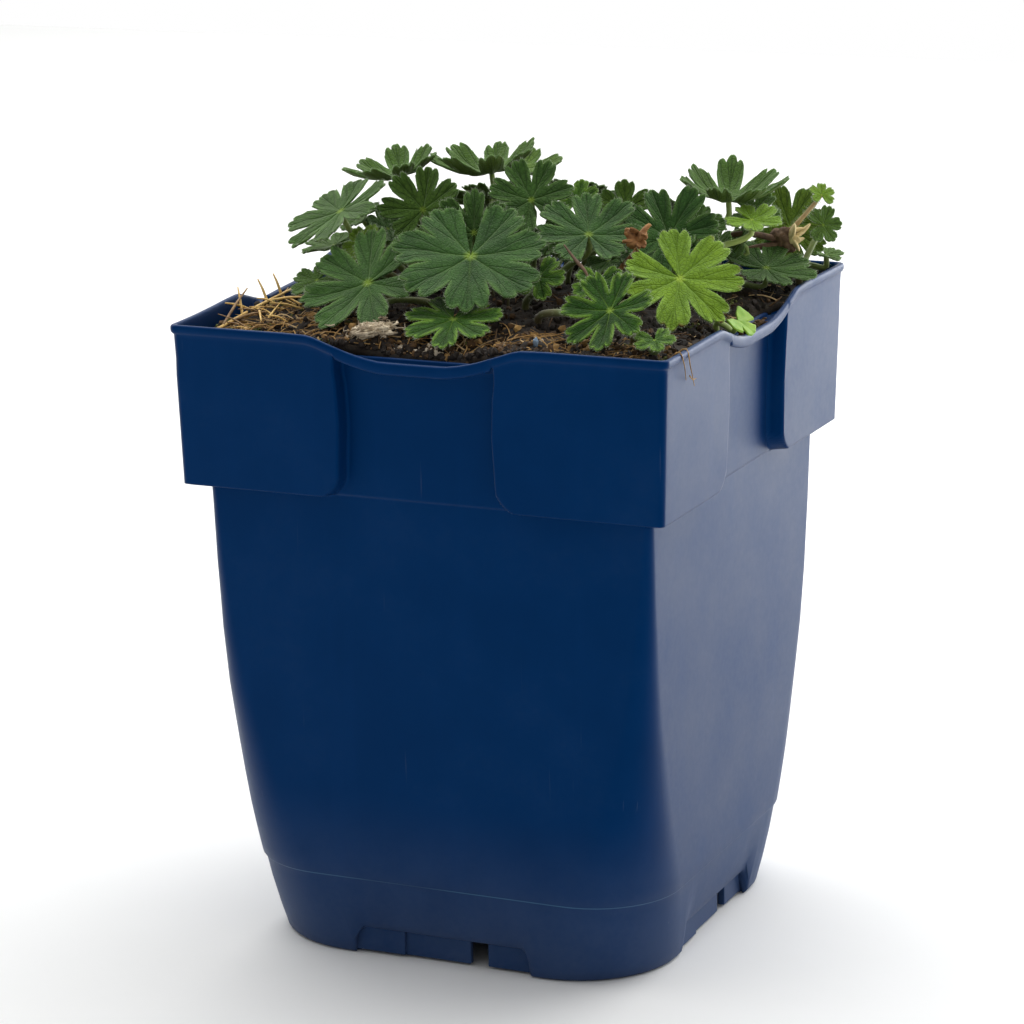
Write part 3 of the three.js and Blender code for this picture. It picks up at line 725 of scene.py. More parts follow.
def fibre_template(bend):
    bm = bmesh.new()
    bmesh.ops.create_cone(bm, cap_ends=True, segments=4, radius1=0.5, radius2=0.22, depth=1.0)
    sides = [e for e in bm.edges if abs(e.verts[0].co.z - e.verts[1].co.z) > 0.5]
    bmesh.ops.subdivide_edges(bm, edges=sides, cuts=3)
    for v in bm.verts:
        v.co.x += bend * (0.25 - v.co.z * v.co.z) * 4
    return bm


def spread_litter(rng, kind, count, size, piece_bm, material, region, tilt=0.35):
    """Lays `count` crumbs or fibres on the crust, at places that region(rng) picks."""
    placements = []
    for _ in range(count * 4):      # some places are refused, so there are spare tries
        if len(placements) == count:
            break
        x, y = region(rng)
        if abs(x) > inner_wall(y) - 0.3 or abs(y) > inner_wall(x) - 0.3:
            continue
        width, length = rng.uniform(*size[0]), rng.uniform(*size[1])
        z = crust_height(x, y) + 0.22 * width
        a = rng.uniform(0, 2 * math.pi)
        direction = Vector((math.cos(a), math.sin(a), rng.uniform(-tilt, tilt)))
        if kind == "fibre":
            reach = length * 0.5
            ends = [(x + direction.x * reach * k, y + direction.y * reach * k) for k in (-1, 1)]
            if any(abs(ex) > inner_wall(ey) - 0.5 or abs(ey) > inner_wall(ex) - 0.5
                   for ex, ey in ends):
                continue
            heights = [crust_height(*e) for e in ends]
            direction.z = (heights[1] - heights[0]) / length + rng.uniform(0, tilt)
            z = max(z, sum(heights) / 2 + 0.3 * width + abs(direction.z) * 0.1 * length)
        placements.append(aimed(Vector((x, y, z)), direction.normalized(), width, length,
                                rng.uniform(0, 6.28)))
    template = crumb_template() if kind == "crumb" else fibre_template(rng.choice((-2.5, 1.5, 3.0)))
    scatter(piece_bm, template, placements, material)
    template.free()


def anywhere(rng):
    return rng.uniform(-53, 53), rng.uniform(-53, 53)


def front_left(rng):
    return rng.gauss(-38, 11), rng.gauss(-40, 10)


def front(rng):
    return rng.uniform(-50, 50), rng.gauss(-44, 6)


def front_lip(rng):
    x = rng.uniform(-30, 46)
    return x, 0.3 + rng.uniform(0, 2.8) - inner_wall(x)


def right_wall(rng):
    return rng.gauss(46, 5), rng.uniform(-48, 40)


# %% [markdown]
# Now the templates are sown. Dark crumbs lie everywhere, brown bits and pale fibres gather at the
# front, and a few crumbs have fallen into the groove of the rim. A seeded random number picks the
# places, and each bit is laid on the crust at its own height, so nothing floats.

# %% Scatter the litter
rng = random.Random(31)
bm = bmesh.new()
DARK, BROWN, OCHRE, STRAW, GRIT, MOSS, GRANULE = range(7)       # places in the list of materials


def scoop_of_grit(rng):
    return rng.gauss(-2, 5), rng.uniform(0.9, 3) - ROOM


# how many, range of widths, range of lengths, material, where
for count, widths, lengths, material, region in (
        (1500, (0.6, 1.9), (0.6, 1.9), DARK, anywhere), (300, (0.7, 2.0), (0.9, 2.6), BROWN, anywhere),
        (170, (0.7, 1.8), (0.8, 2.4), BROWN, front), (26, (1.2, 2.2), (2.0, 4.2), OCHRE, front),
        (120, (0.4, 1.0), (0.6, 1.6), OCHRE, front), (30, (0.4, 1.0), (0.5, 1.2), GRIT, front),
        (110, (0.6, 1.7), (0.8, 2.2), BROWN, front_lip), (330, (0.7, 1.9), (0.8, 2.2), DARK, front_lip),
        (40, (0.5, 1.6), (0.6, 2.0), GRIT, scoop_of_grit)):
    spread_litter(rng, "crumb", count, (widths, lengths), bm, material, region)
# Crumbs in the groove of the right rim, and one granule of fertiliser.
gutter = [aimed(Vector((rng.uniform(51.6, 53.0), rng.gauss(2, 4.5), rng.uniform(131.4, 132.6))),
                Vector((rng.uniform(-1, 1), rng.uniform(-1, 1), 0.3)).normalized(),
                rng.uniform(0.6, 1.3), rng.uniform(0.8, 1.8)) for _ in range(60)]
bit = crumb_template()
scatter(bm, bit, gutter, BROWN)
scatter(bm, bit, [aimed(Vector((23.6, -46.3, 135.9)), Vector((0.15, 0, 1)), 1.2, 3.6)], GRANULE)
bit.free()
for _ in range(4):                 # four rounds, each with a bend of its own
    for count, widths, lengths, material, region in (
            (90, (0.18, 0.5), (2.5, 8.0), BROWN, anywhere), (70, (0.16, 0.45), (3.0, 9.0), OCHRE, front),
            (14, (0.25, 0.5), (5.0, 10.0), STRAW, front), (16, (0.2, 0.55), (3.0, 8.0), OCHRE, front_left),
            (6, (0.2, 0.6), (3.0, 8.0), STRAW, front_left), (10, (0.2, 0.4), (3.0, 8.0), STRAW, right_wall)):
        spread_litter(rng, "fibre", count, (widths, lengths), bm, material, region)
for tuft in range(26):             # moss: tight tufts of short leaves
    cx, cy = front_left(rng) if tuft < 15 else right_wall(rng) if tuft < 19 else anywhere(rng)
    spread_litter(rng, "crumb", 26, ((0.3, 0.8), (0.6, 1.6)), bm, MOSS, lambda r: (
        r.gauss(cx, 1.6), r.gauss(cy, 1.6)), tilt=2.0)
for threads in (((52.5, -49, 134.5), (54.6, -47.5, 136.5), (55.3, -46.5, 134), (55.35, -45.5, 130.5)),
                ((52, -44, 134.6), (54.5, -43.5, 136.4), (55.35, -43, 132.5), (55.4, -41, 128.5)),
                ((55.35, -43.5, 131), (55.4, -42, 130), (55.4, -40, 129.8))):
    tube(bm, threads, (0.16, 0.13, 0.07), 5, 14, OCHRE)            # rootlets over the rim
litter = finish_piece("soil_litter", bm, [crumb_dark, crumb_brown, fibre_ochre, fibre_straw,
                                          grit_pale, moss_green, granule_blue])
print("litter", len(litter.data.polygons), "faces")

# %% [markdown]
# ## Leaf finish
# The leaves are covered in short hairs, so they look soft and a little grey. Veins run from the
# stalk into every lobe: pale and yellow near the middle of the leaf, then a groove darkened with
# painted shade. Between them the skin is finely netted. The pattern has to follow the leaf, so
# each lobe of the blade carries its own map: across the lobe from 0 to 1, and outward from the
# leaf's centre to its edge from 0 to 1. The vein group draws its lines on that map.

# %% Vein group
vein_group, g, g_in, g_out = new_group(
    "palm_leaf_veins", [("Map", "NodeSocketVector", None)],
    [("Rib", "NodeSocketFloat"), ("Side Veins", "NodeSocketFloat"), ("Outward", "NodeSocketFloat")])
LOBE_WIDTH = 0.42                  # half-width of a lobe, as a share of its distance out
lobe_place = g_in.outputs["Map"]
wobble = g.times(g.minus(g.noise(7.0, 2.0, 0.5, lobe_place), 0.5), 0.05)
across = g.plus(g.minus(g.times(g.axis(lobe_place, 0), 2.0), 1.0), wobble)
outward = g.axis(lobe_place, 1)
aside = g.times(g.times(g.math("ABSOLUTE", across), outward), LOBE_WIDTH)


def vein_line(start, reach, swing, power, width, base=None):
    """A mask for a vein that leaves the rib at `start` and has swung out by `swing` at `reach`."""
    run = g.most(g.minus(outward, start), 0.0)
    line = g.times(g.math("POWER", g.math("DIVIDE", run, reach), power), swing)
    if base is not None:
        line = g.plus(line, base)
    mask = g.remap(g.math("ABSOLUTE", g.minus(aside, line)), width, 0.0)
    return line, g.times(mask, g.remap(outward, start, start + 0.04))


rib = g.remap(aside, 0.016, 0.003)
first_line, first = vein_line(0.26, 0.68, 0.225, 0.85, 0.014)
_, second = vein_line(0.55, 0.42, 0.085, 0.9, 0.011)
_, third = vein_line(0.50, 0.35, 0.085, 1.0, 0.011, first_line)
_, fourth = vein_line(0.72, 0.25, -0.05, 1.0, 0.010, first_line)
g.feed(g_out.inputs["Rib"], rib)
faint = g.most(g.times(third, 0.8), g.times(fourth, 0.7))
g.feed(g_out.inputs["Side Veins"], g.most(first, g.most(second, faint)))
g.feed(g_out.inputs["Outward"], outward)
print("vein group ready")


# %% [markdown]
# Each leaf material starts from two greens that change over in soft clouds. A painted olive tone
# stands in for light shining through leaves, and the blade's `edge` attribute makes the thin margin paler.
# The same veins tint the skin and press grooves into it, so colour and relief always agree; on the upper
# side the darker tint is painted shade in the grooves.
# Upper and lower side are two materials, because the underside is paler and its veins stand out.

# %% Leaf materials
def leaf_material(name, deep, fresh, backlight_olive, pale, glow, vein_pale, sheen, under=False,
                  groove_shade=0.45):
    """Velvety skin: deep and fresh greens, painted olive for light shining through, pale edge, glowing
    centre.
    """
    m, n, shader = new_material(name, deep, Roughness=0.62, Sheen_Weight=sheen, Sheen_Roughness=0.35,
                                Specular_IOR_Level=0.16)
    shader.inputs["Sheen Tint"].default_value = (0.72, 0.92, 0.52, 1)
    veins = n.add("ShaderNodeGroup", {"Map": n.add("ShaderNodeUVMap").outputs[0]}, node_tree=vein_group)
    rib, side, outward = veins.outputs["Rib"], veins.outputs["Side Veins"], veins.outputs["Outward"]
    edge, tone, burnt = [n.add("ShaderNodeAttribute", attribute_name=name).outputs["Fac"]
                         for name in ("edge", "tone", "burnt")]
    value, cloud = grain(n, 170.0, 1900.0, 0.35)
    mesh_lines = n.remap(n.cells(1150.0, "DISTANCE_TO_EDGE"), 0.12, 0.02)

    def shade(r, g, b):
        """The deep green, darkened."""
        return deep[0] * r, deep[1] * g, deep[2] * b, 1

    color = n.mix(n.remap(cloud, 0.34, 0.66), (*deep, 1), (*fresh, 1))
    # Painted backlight: the tone turns the leaf towards olive, as if light shone through it.
    color = n.mix(tone, color, (*backlight_olive, 1))
    color = n.mix(n.times(mesh_lines, 0.26), color, shade(0.55, 0.6, 0.55))
    # Painted shade: darker along the rib and side veins beyond the centre, as in grooves the light does not
    # reach; on the undersides the raised veins get the same darker lines.
    vein_groove_shade = n.times(n.most(rib, side), n.remap(outward, 0.22, 0.5))
    color = n.mix(n.times(vein_groove_shade, groove_shade), color, shade(0.35, 0.45, 0.35))
    light_vein = n.times(rib, n.remap(outward, 0.62, 0.05))
    color = n.mix(n.times(light_vein, vein_pale), color, (*pale, 1))
    color = n.mix(n.remap(outward, 0.11, 0.02, 0.0, 0.7, smooth=True), color, (*glow, 1))
    color = n.mix(n.times(n.math("POWER", edge, 1.6), 0.62), color, (*pale, 1))
    color = n.mix(burnt, color, (0.13, 0.045, 0.018, 1))
    n.feed(shader.inputs["Base Color"], color)
    n.feed(shader.inputs["Roughness"], n.remap(value, 0.3, 0.7, 0.52, 0.74))
    grooves = n.times(n.most(rib, side), 1.0 if under else -1.0)
    relief = n.plus(grooves, n.times(n.minus(value, mesh_lines), 0.55))
    n.feed(shader.inputs["Normal"], n.bump(relief, 0.75, 0.00030))
    return m


leaf_green = leaf_material("leaf_velvet_green", (0.024, 0.072, 0.014), (0.048, 0.126, 0.024),
                           (0.150, 0.250, 0.026), (0.13, 0.25, 0.060), (0.27, 0.40, 0.04), 0.45, 0.30)
leaf_under = leaf_material("leaf_underside", (0.055, 0.098, 0.016), (0.085, 0.145, 0.024),
                           (0.150, 0.230, 0.034), (0.20, 0.30, 0.10), (0.30, 0.38, 0.08), 0.35, 0.12,
                           under=True)
# Painted shade: a darker, less hazy copy of the leaf green for the small and low leaves that lie in the
# shade of others.
leaf_shaded = leaf_material("leaf_green_painted_shade", (0.012, 0.050, 0.003), (0.032, 0.105, 0.007),
                           (0.110, 0.250, 0.024), (0.24, 0.44, 0.05), (0.30, 0.46, 0.05), 0.45, 0.15)
leaf_young = leaf_material("leaf_young_green", (0.130, 0.240, 0.014), (0.215, 0.360, 0.026),
                           (0.200, 0.400, 0.030), (0.32, 0.52, 0.09), (0.42, 0.58, 0.06), 0.55, 0.20,
                           groove_shade=0.16)
young_under = leaf_material("leaf_young_underside", (0.08, 0.17, 0.022), (0.12, 0.24, 0.038),
                            (0.180, 0.330, 0.050), (0.32, 0.46, 0.16), (0.40, 0.50, 0.10), 0.8, 0.2,
                            under=True)
print("leaf materials ready")

# %% [markdown]
# ## Stalks and hairs
# Stalks are green near the leaf and often reddish near the soil. Their map runs along them, so
# the change of colour needs no measuring. Hairs are single thin cones; they are too fine to see
# one by one, but together they give the leaf edges their soft, pale rim.


# %% Stalk and hair materials
def stalk_material(name, foot, middle, top):
    m, n, shader = new_material(name, middle, Roughness=0.55, Sheen_Weight=0.3)
    along = n.axis(n.add("ShaderNodeUVMap").outputs[0], 1)
    value, cloud = grain(n, 300.0, 2500.0, 0.4)
    shifted = n.plus(along, n.remap(cloud, 0.3, 0.7, -0.12, 0.12))
    color = n.mix(n.remap(shifted, 0.08, 0.45), (*foot, 1), (*middle, 1))
    color = n.mix(n.remap(shifted, 0.55, 0.95), color, (*top, 1))
    n.feed(shader.inputs["Base Color"], color)
    n.feed(shader.inputs["Normal"], n.bump(value, 0.4, 0.0001))
    return m


stalk_green = stalk_material("stalk_green", (0.10, 0.052, 0.022), (0.13, 0.18, 0.035),
                             (0.26, 0.36, 0.08))
stalk_young = stalk_material("stalk_young", (0.26, 0.30, 0.06), (0.30, 0.42, 0.08),
                             (0.40, 0.52, 0.12))
hair_pale, n, shader = new_material("hair_pale", (0.42, 0.50, 0.33), Roughness=0.6)
n.feed(shader.inputs["Base Color"], n.mix(n.noise(400.0), (0.30, 0.40, 0.22, 1), (0.62, 0.68, 0.52, 1)))
print("stalk and hair materials ready")

# %% [markdown]
# ## Leaf blades
# A cranesbill leaf is a round blade cut into seven lobes, a small one into five, and each lobe
# ends in three rounded teeth. Each lobe is one bent grid: its columns fan out from the stalk and
# its last row is the toothed edge. Near the centre neighbouring lobes share their sides, and
# further out they part, which leaves the narrow cut between them. Merging close points joins the
# lobes.


# %% Leaf blade
SPREAD = {7: 48.5, 5: 64.0, 3: 88.0}        # degrees from lobe to lobe
SIDE_END = 0.76                             # how far out the sides of a lobe reach
BLADE_THICKNESS = 0.42
UPPER, UNDER, STALK, HAIRS = range(4)       # places in a leaf's list of materials
PALE_EDGE, PALE_CUT = 1.1, 0.9              # width of the pale margin at the end and in the cuts


def leaf_axes(az, el, spin):
    """Directions of a leaf: down its middle lobe, across, and out of its face."""
    a, e, s = (math.radians(k) for k in (az, el, spin))
    out = Vector((math.sin(a) * math.cos(e), -math.cos(a) * math.cos(e), math.sin(e)))
    down = Vector((math.sin(a) * math.sin(e), -math.cos(a) * math.sin(e), -math.cos(e)))
    along = down * math.cos(s) + out.cross(down) * math.sin(s)
    return along, out.cross(along), out


class Blade:
    """The surface of one leaf: point(lobe, across, outward) for across -1..1, outward 0..1."""

    def __init__(self, leaf, seed):
        self.leaf = leaf
        self.x, self.y, self.out = leaf_axes(leaf["az"], leaf["el"], leaf["spin"])
        self.centre = Vector(leaf["place"])
        self.size = leaf["size"]
        self.rng = random.Random(seed)
        lobes = leaf["lobes"]
        half = (lobes - 1) // 2
        self.lobes = range(-half, half + 1)
        r = self.rng.uniform
        self.teeth = {k: [(-0.60 + r(-0.04, 0.04), 0.37), (r(-0.05, 0.05), 0.35),
                          (0.60 + r(-0.04, 0.04), 0.37)] for k in self.lobes}
        self.cut = leaf.get("cut", 0.50)     # how far out the cut between two lobes begins
        low, high = leaf["gaps"]
        self.narrow = {(k, side): r(low, high) for k in self.lobes for side in (-1, 1)}
        self.reach = {k: r(0.94, 1.03) for k in self.lobes}
        self.droop = {k: r(-0.12, 0.05) for k in self.lobes}
        self.lift = {k: (0.018 if k % 2 else -0.012) for k in self.lobes}
        self.phase = r(0, 100)

    def margin(self, k, across):
        length = (1 - 0.014 * k * k) * self.reach[k]
        corner = max(0.0, (abs(across) - 0.6) / 0.4)
        edge = 1 - 0.05 * min(1.0, (across / 0.6) ** 2) - 0.19 * corner * corner
        bump = min(1.0, *(((across - place) / width) ** 2 for place, width in self.teeth[k]))
        if abs(across) < abs(self.teeth[k][0][0]):     # notches only between the teeth
            edge -= 0.26 * (1 - math.sqrt(1 - 0.95 * bump))
        edge += 0.02 * math.sin(across * 5 + self.phase + k)
        shared = smooth_step(0.90, 1.0, abs(across))   # both neighbours agree along their cut
        return edge * length * (1 - shared) + SIDE_END * shared

    def flat(self, k, across, outward):
        """Angle and distance from the centre (as a share of the leaf's size)."""
        rho = outward * self.margin(k, across)
        narrow = self.narrow[(k, 1 if across > 0 else -1)]
        open_up = min(1.0, max(0.0, (rho - self.cut) / (SIDE_END - self.cut))) ** 0.8
        share = across * (1 - narrow * open_up * min(1.0, abs(across) * 1.5))
        if rho > self.cut:                # the sides of a lobe swell a little before its end
            bow = math.sin(math.pi * min(1.0, (rho - self.cut) / (1 - self.cut)))
            share *= 1 + 0.06 * bow * abs(across)
        return math.radians((k + share / 2) * SPREAD[self.leaf["lobes"]]), rho, share

    def height(self, k, across, angle, rho):
        leaf = self.leaf
        h = leaf["cup"] * rho * rho + leaf["fold"] * abs(rho * math.sin(angle))
        h -= 0.028 * rho * math.cos(math.pi * across)
        outer = smooth_step(self.cut, 1.0, rho)
        if leaf["cup"] > 0.2:             # funnel leaves curl their lobes up
            h += 0.16 * outer * rho
        lifted = self.lift[k] * outer * (1 if abs(across) < 0.9 else 1.3)
        h += self.droop[k] * outer * (rho - self.cut) + lifted
        p = Vector((math.cos(angle) * rho * 3.1 + self.phase, math.sin(angle) * rho * 3.1, 0))
        h += 0.045 * outer * noise.noise(p) + 0.018 * rho * noise.noise(p * 3.2)
        h += 0.006 * outer * math.sin(across * 9.4 + k)      # folds between the side veins
        groove = math.exp(-(across * rho * LOBE_WIDTH / 0.022) ** 2)
        return h - 0.011 * groove * smooth_step(0.02, 0.2, rho)

    def point(self, k, across, outward):
        angle, rho, share = self.flat(k, across, outward)
        h = self.height(k, share, angle, rho)
        r = self.size
        return (self.centre + self.x * (rho * r * math.cos(angle))
                + self.y * (rho * r * math.sin(angle)) + self.out * (h * r))


def add_blade(bm, blade, columns, rows, burnt=False):
    floats = bm.verts.layers.float
    edge, tone, brown = [floats.get(name) or floats.new(name) for name in ("edge", "tone", "burnt")]
    all_points, all_faces = [], []

    def outward(v):                         # rows crowd together towards the edge
        return 1 - (1 - v) ** 1.35

    for k in blade.lobes:
        def place(u, v, k=k):
            return blade.point(k, 2 * u - 1, outward(v))

        def lobe_map(u, v, k=k):
            _, rho, share = blade.flat(k, 2 * u - 1, outward(v))
            return (share + 1) / 2, rho

        points, faces = bent_grid(bm, columns, rows, place, lobe_map, UPPER)
        leaf_uv = bm.loops.layers.uv.verify()
        for p in points:
            corner = p.link_loops[0][leaf_uv].uv
            across, rho = corner.x * 2 - 1, corner.y
            limit = blade.margin(k, across)
            near = max(0.0, 1 - (limit - rho) * blade.size / PALE_EDGE)
            if rho > blade.cut:
                side = blade.narrow[(k, 1 if across > 0 else -1)] * min(
                    1.0, (rho - blade.cut) / (SIDE_END - blade.cut)) ** 0.8
                gap = (1 - side - abs(across)) * rho * LOBE_WIDTH * blade.size
                near = max(near, 1 - gap / PALE_CUT)
            p[edge] = max(0.0, min(1.0, near))
            p[tone] = blade.leaf["tone"]
            if burnt:
                spot = noise.noise(p.co * 0.45 + Vector((blade.phase, 0, 0)))
                p[brown] = smooth_step(0.35, 0.9, p[edge] * (0.65 + 0.9 * spot)) * (
                    smooth_step(0.78, 0.95, rho))
        all_points += points
        all_faces += faces
    bmesh.ops.remove_doubles(bm, verts=all_points, dist=0.012)
    faces = [f for f in all_faces if f.is_valid]
    for f in faces:
        f.normal_update()
    if sum(f.normal.dot(blade.out) for f in faces) < 0:
        bmesh.ops.reverse_faces(bm, faces=faces)
    made = bmesh.ops.solidify(bm, geom=faces, thickness=BLADE_THICKNESS)["geom"]
    for f in (e for e in made if isinstance(e, bmesh.types.BMFace)):
        f.smooth = True
    for f in bm.faces:
        if f.material_index == UPPER:
            f.normal_update()
            if f.normal.dot(blade.out) < -0.15:
                f.material_index = UNDER


# %% [markdown]
# ## Hairs along an edge
# The hairs stand out from the leaf's edge and from its stalk. They are placed by walking along
# the edge in small steps, and each gets its own length and lean from a seeded random number, so
# every run gives the same plant.

# %% Hairs
hair_template = bmesh.new()
bmesh.ops.create_cone(hair_template, cap_ends=True, segments=3, radius1=0.5, radius2=0.08, depth=1.0)
bmesh.ops.translate(hair_template, vec=(0, 0, 0.5), verts=hair_template.verts[:])


def edge_hairs(blade, spacing, length):
    """Placements for hairs round every lobe."""
    rng, out = blade.rng, []
    start = blade.cut + 0.1
    for k in blade.lobes:
        walk = [(-1.0, start + (1 - start) * i / 12) for i in range(13)]
        walk += [(-1 + 2 * i / 60, 1.0) for i in range(61)]
        walk += [(1.0, 1 - (1 - start) * i / 12) for i in range(13)]
        points = [blade.point(k, a, o) for a, o in walk]
        for (a, o), p, q in zip(walk, points, points[1:]):
            steps = max(1, round((q - p).length / spacing))
            inner = blade.point(k, a * 0.9, o * 0.94)
            outward = (p - inner).normalized()
            along = (q - p).normalized() if (q - p).length > 1e-6 else blade.x
            for j in range(steps):
                lean = along * rng.uniform(-0.55, 0.55) + blade.out * rng.uniform(-0.35, 0.75)
                place = p.lerp(q, (j + rng.random()) / steps) - blade.out * 0.2
                size = length * rng.uniform(0.5, 1.25)
                out.append(aimed(place - outward * 0.06, (outward + lean).normalized(), 0.075, size))
    return out


def stalk_hairs(rng, frames, radius, count, length):
    out = []
    for _ in range(count):
        p, side, other = frames[rng.randrange(1, len(frames))]
        a = rng.uniform(0, 2 * math.pi)
        away = side * math.cos(a) + other * math.sin(a)
        p = p + side.cross(other) * rng.uniform(-0.6, 0.6) + away * radius * 0.9
        out.append(aimed(p, (away + side.cross(other) * rng.uniform(-0.3, 0.3)).normalized(), 0.06,
                         length * rng.uniform(0.5, 1.2)))
    return out


print("hair template", len(hair_template.faces), "faces")


# %% [markdown]
# ## One whole leaf
# A leaf is its blade, its stalk and its hairs in one mesh. The stalk stands in the soil, rises,
# and bends over to the back of the blade.


# %% Leaf builder
def stalk_path(leaf, blade):
    x, y = leaf["root"]
    ground = soil_height(x, y)
    low = Vector((x, y, ground + 2.5))
    back = blade.centre - blade.out * (0.22 * leaf["size"] + 1) - Vector((0, 0, 1))
    middle = low.lerp(back, 0.55) + Vector((0, 0, 0.06 * (back - low).length))
    return [Vector((x, y, ground - 2)), Vector((x, y, ground)), low, middle, back,
            blade.centre - blade.out * 0.3]


def make_leaf(name, leaf, seed, node, materials, burnt):
    blade = Blade(leaf, seed)
    size = leaf["size"]
    columns, rows = (36, 14) if size > 9 else (24, 11) if size > 5 else (18, 8)
    bm = bmesh.new()
    add_blade(bm, blade, columns, rows, burnt)
    frames = tube(bm, stalk_path(leaf, blade), (0.95, 0.85, 0.72, 0.70, 0.62), 8, 22, STALK)
    hairs = edge_hairs(blade, *((0.34, 0.62) if size > 5 else (0.3, 0.5)))
    hairs += stalk_hairs(blade.rng, frames, 0.72, int(5 * size + 60), 0.75)
    scatter(bm, hair_template, hairs, HAIRS)
    return finish_piece(name, bm, materials, [node])


# %% [markdown]
# ## The leaves of this plant
# Each line is one leaf: where the middle of its blade is, which way it faces (turn and rise in
# degrees), how its middle lobe is turned, its size, how far it is cupped and folded, its lobes,
# where its stalk leaves the soil, whether it is young, and its tone: how much painted backlight it gets.

# %% Leaves
LEAVES = [
    (1, -27, 149, 20, 56, 0, 17.5, 0.1, 0.05, 7, 3, -14, 0, 0),
    (-19.1, -34.2, 143.4, -10, 52, -60, 15.2, 0.1, 0.06, 7, -9.8, -22.6, 0, 0.05),
    (-33.5, -17, 155, -40, 58, 0, 13, 0.1, 0.04, 7, -18, -10, 0, 0.15),
    (-29.5, 3.8, 160, -60, 76, 0, 11.5, 0.3, 0, 7, -15, 3, 0, 0.35),
    (-10, 9, 161, -70, 80, 0, 13, 0.3, 0, 7, -4, 5, 0, 0.35),
    (-17.5, -10, 155, 10, 22, 175, 9.5, 0.2, 0.15, 7, -10, -6, 0, 0.35),
    (-27.6, -19, 148.6, -20, 45, -60, 5.5, 0.1, 0.05, 5, -12, -7, 1, 0.2),
    (-9.5, 25, 159.5, 60, 70, 0, 8, 0.25, 0, 5, -4, 17, 0, 0.6),
    (4, -2, 157, 20, 35, -155, 9.5, 0.15, 0.05, 7, 1, 0, 0, 0.1),
    (-4, -14, 151.5, 20, 22, 180, 9.2, 0.1, 0.12, 7, -3, -8, 0, 0.1),
    (19.5, -8, 151.5, 25, 58, 180, 12, 0.12, 0.06, 7, 9, -6, 0, 0.05),
    (18, 16, 153, 20, 22, 180, 6.5, 0.15, 0.05, 5, 10, 10, 0, 0.5),
    (32, 6, 149.5, 30, 28, -165, 11.5, 0.05, 0.35, 7, 19, 2, 0, 0),
    (42.8, -16, 145, 28, 48, 35, 14, 0.08, 0.05, 7, 29, -14, 1, 0.1),
    (37.5, -41, 142.5, -10, 45, -35, 10.8, 0.1, 0.06, 7, 16, -27, 1, 0),
    (2.8, -40, 138.3, 10, 68, 0, 10.8, 0.06, 0.04, 7, 4, -27, 0, 0.1),
    (38, 26, 155, 60, 84, 90, 12.5, 0.34, 0, 7, 18, 16, 0, 0.3),
    (46.5, 17, 152.2, 30, 72, 60, 6.5, 0.15, 0.05, 5, 26, 7, 1, 0.3),
    (45, 46, 146, 20, 20, 150, 10, 0.1, 0.05, 7, 28, 32, 0, 0.4),
    (53, 45, 147, 40, 24, 90, 4.4, 0.15, 0.05, 5, 50, 38, 0, 0.4),
    (46, 28, 140, 50, 70, 90, 11, 0.2, 0, 7, 33, 14, 0, 0.6),
    (8, 14, 155, 0, 40, 180, 5, 0.1, 0.1, 5, 3, 9, 0, 0.3),
    (42, 31, 151.5, 20, 55, 80, 6, 0.1, 0.1, 5, 25, 22, 0, 0.3),
    (-39, -9.4, 146.2, -60, 78, 12, 7.5, 0.12, 0.08, 5, -25, -5, 0, 0.3),
    (52, 50.5, 139.5, 60, 80, 0, 4, 0.1, 0.2, 5, 44, 46, 0, 0.4),
    (26, -18.5, 143, 20, 45, 0, 6, 0.1, 0.1, 5, 17, -13, 0, 0.15),
    (14, -22, 144.5, 10, 45, 20, 6, 0.1, 0.1, 5, 9, -17, 0, 0.15),
    (48.5, -45, 138, 10, 66, 22, 4.4, 0.12, 0.05, 5, 41, -37, 0, 0.3),
    (-34, -28, 142, -20, 60, -30, 6.2, 0.1, 0.05, 5, -22, -19, 0, 0.3),
    (-38.5, 3, 151, -40, 50, 0, 5.5, 0.1, 0.05, 5, -26, 4, 0, 0.3),
    (36, 12, 150, 20, 40, 170, 6.5, 0.15, 0.15, 5, 24, 8, 0, 0.2),
    (-19, 29.5, 151.5, -150, 64, 0, 11.6, 0.1, 0.05, 7, -9, 14, 0, 0.15),
    (0, 38, 151, 175, 60, 0, 12.5, 0.1, 0.05, 7, 2, 22, 0, 0.15),
    (22, 37, 149, 155, 60, 0, 11.5, 0.1, 0.05, 7, 12, 20, 0, 0.15),
    (-37, 15, 147, -100, 60, 0, 11, 0.08, 0.05, 7, -22, 10, 0, 0.15),
    (-34, 38, 143, -135, 56, 0, 10.5, 0.08, 0.05, 7, -20, 22, 0, 0.15),
    (11, 45, 141, 180, 60, 20, 7.5, 0.08, 0.08, 5, 8, 32, 0, 0.15),
    (-12, 45, 142, -170, 60, -20, 8.2, 0.08, 0.05, 5, -8, 32, 0, 0.15),
    (-45, 27, 140, -90, 66, 0, 6.5, 0.08, 0.05, 5, -34, 22, 1, 0.15),
]


def as_leaf(row):
    x, y, z, az, el, spin, size, cup, fold, lobes, root_x, root_y, young, tone = row
    return dict(place=(x, y, z), az=az, el=el, spin=spin, size=size, cup=cup, fold=fold,
                lobes=lobes, root=(root_x, root_y), young=bool(young), tone=tone,
                cut=0.36 if cup > 0.2 else 0.42,
                gaps=(0.28, 0.42) if cup > 0.2 else (0.20, 0.32))


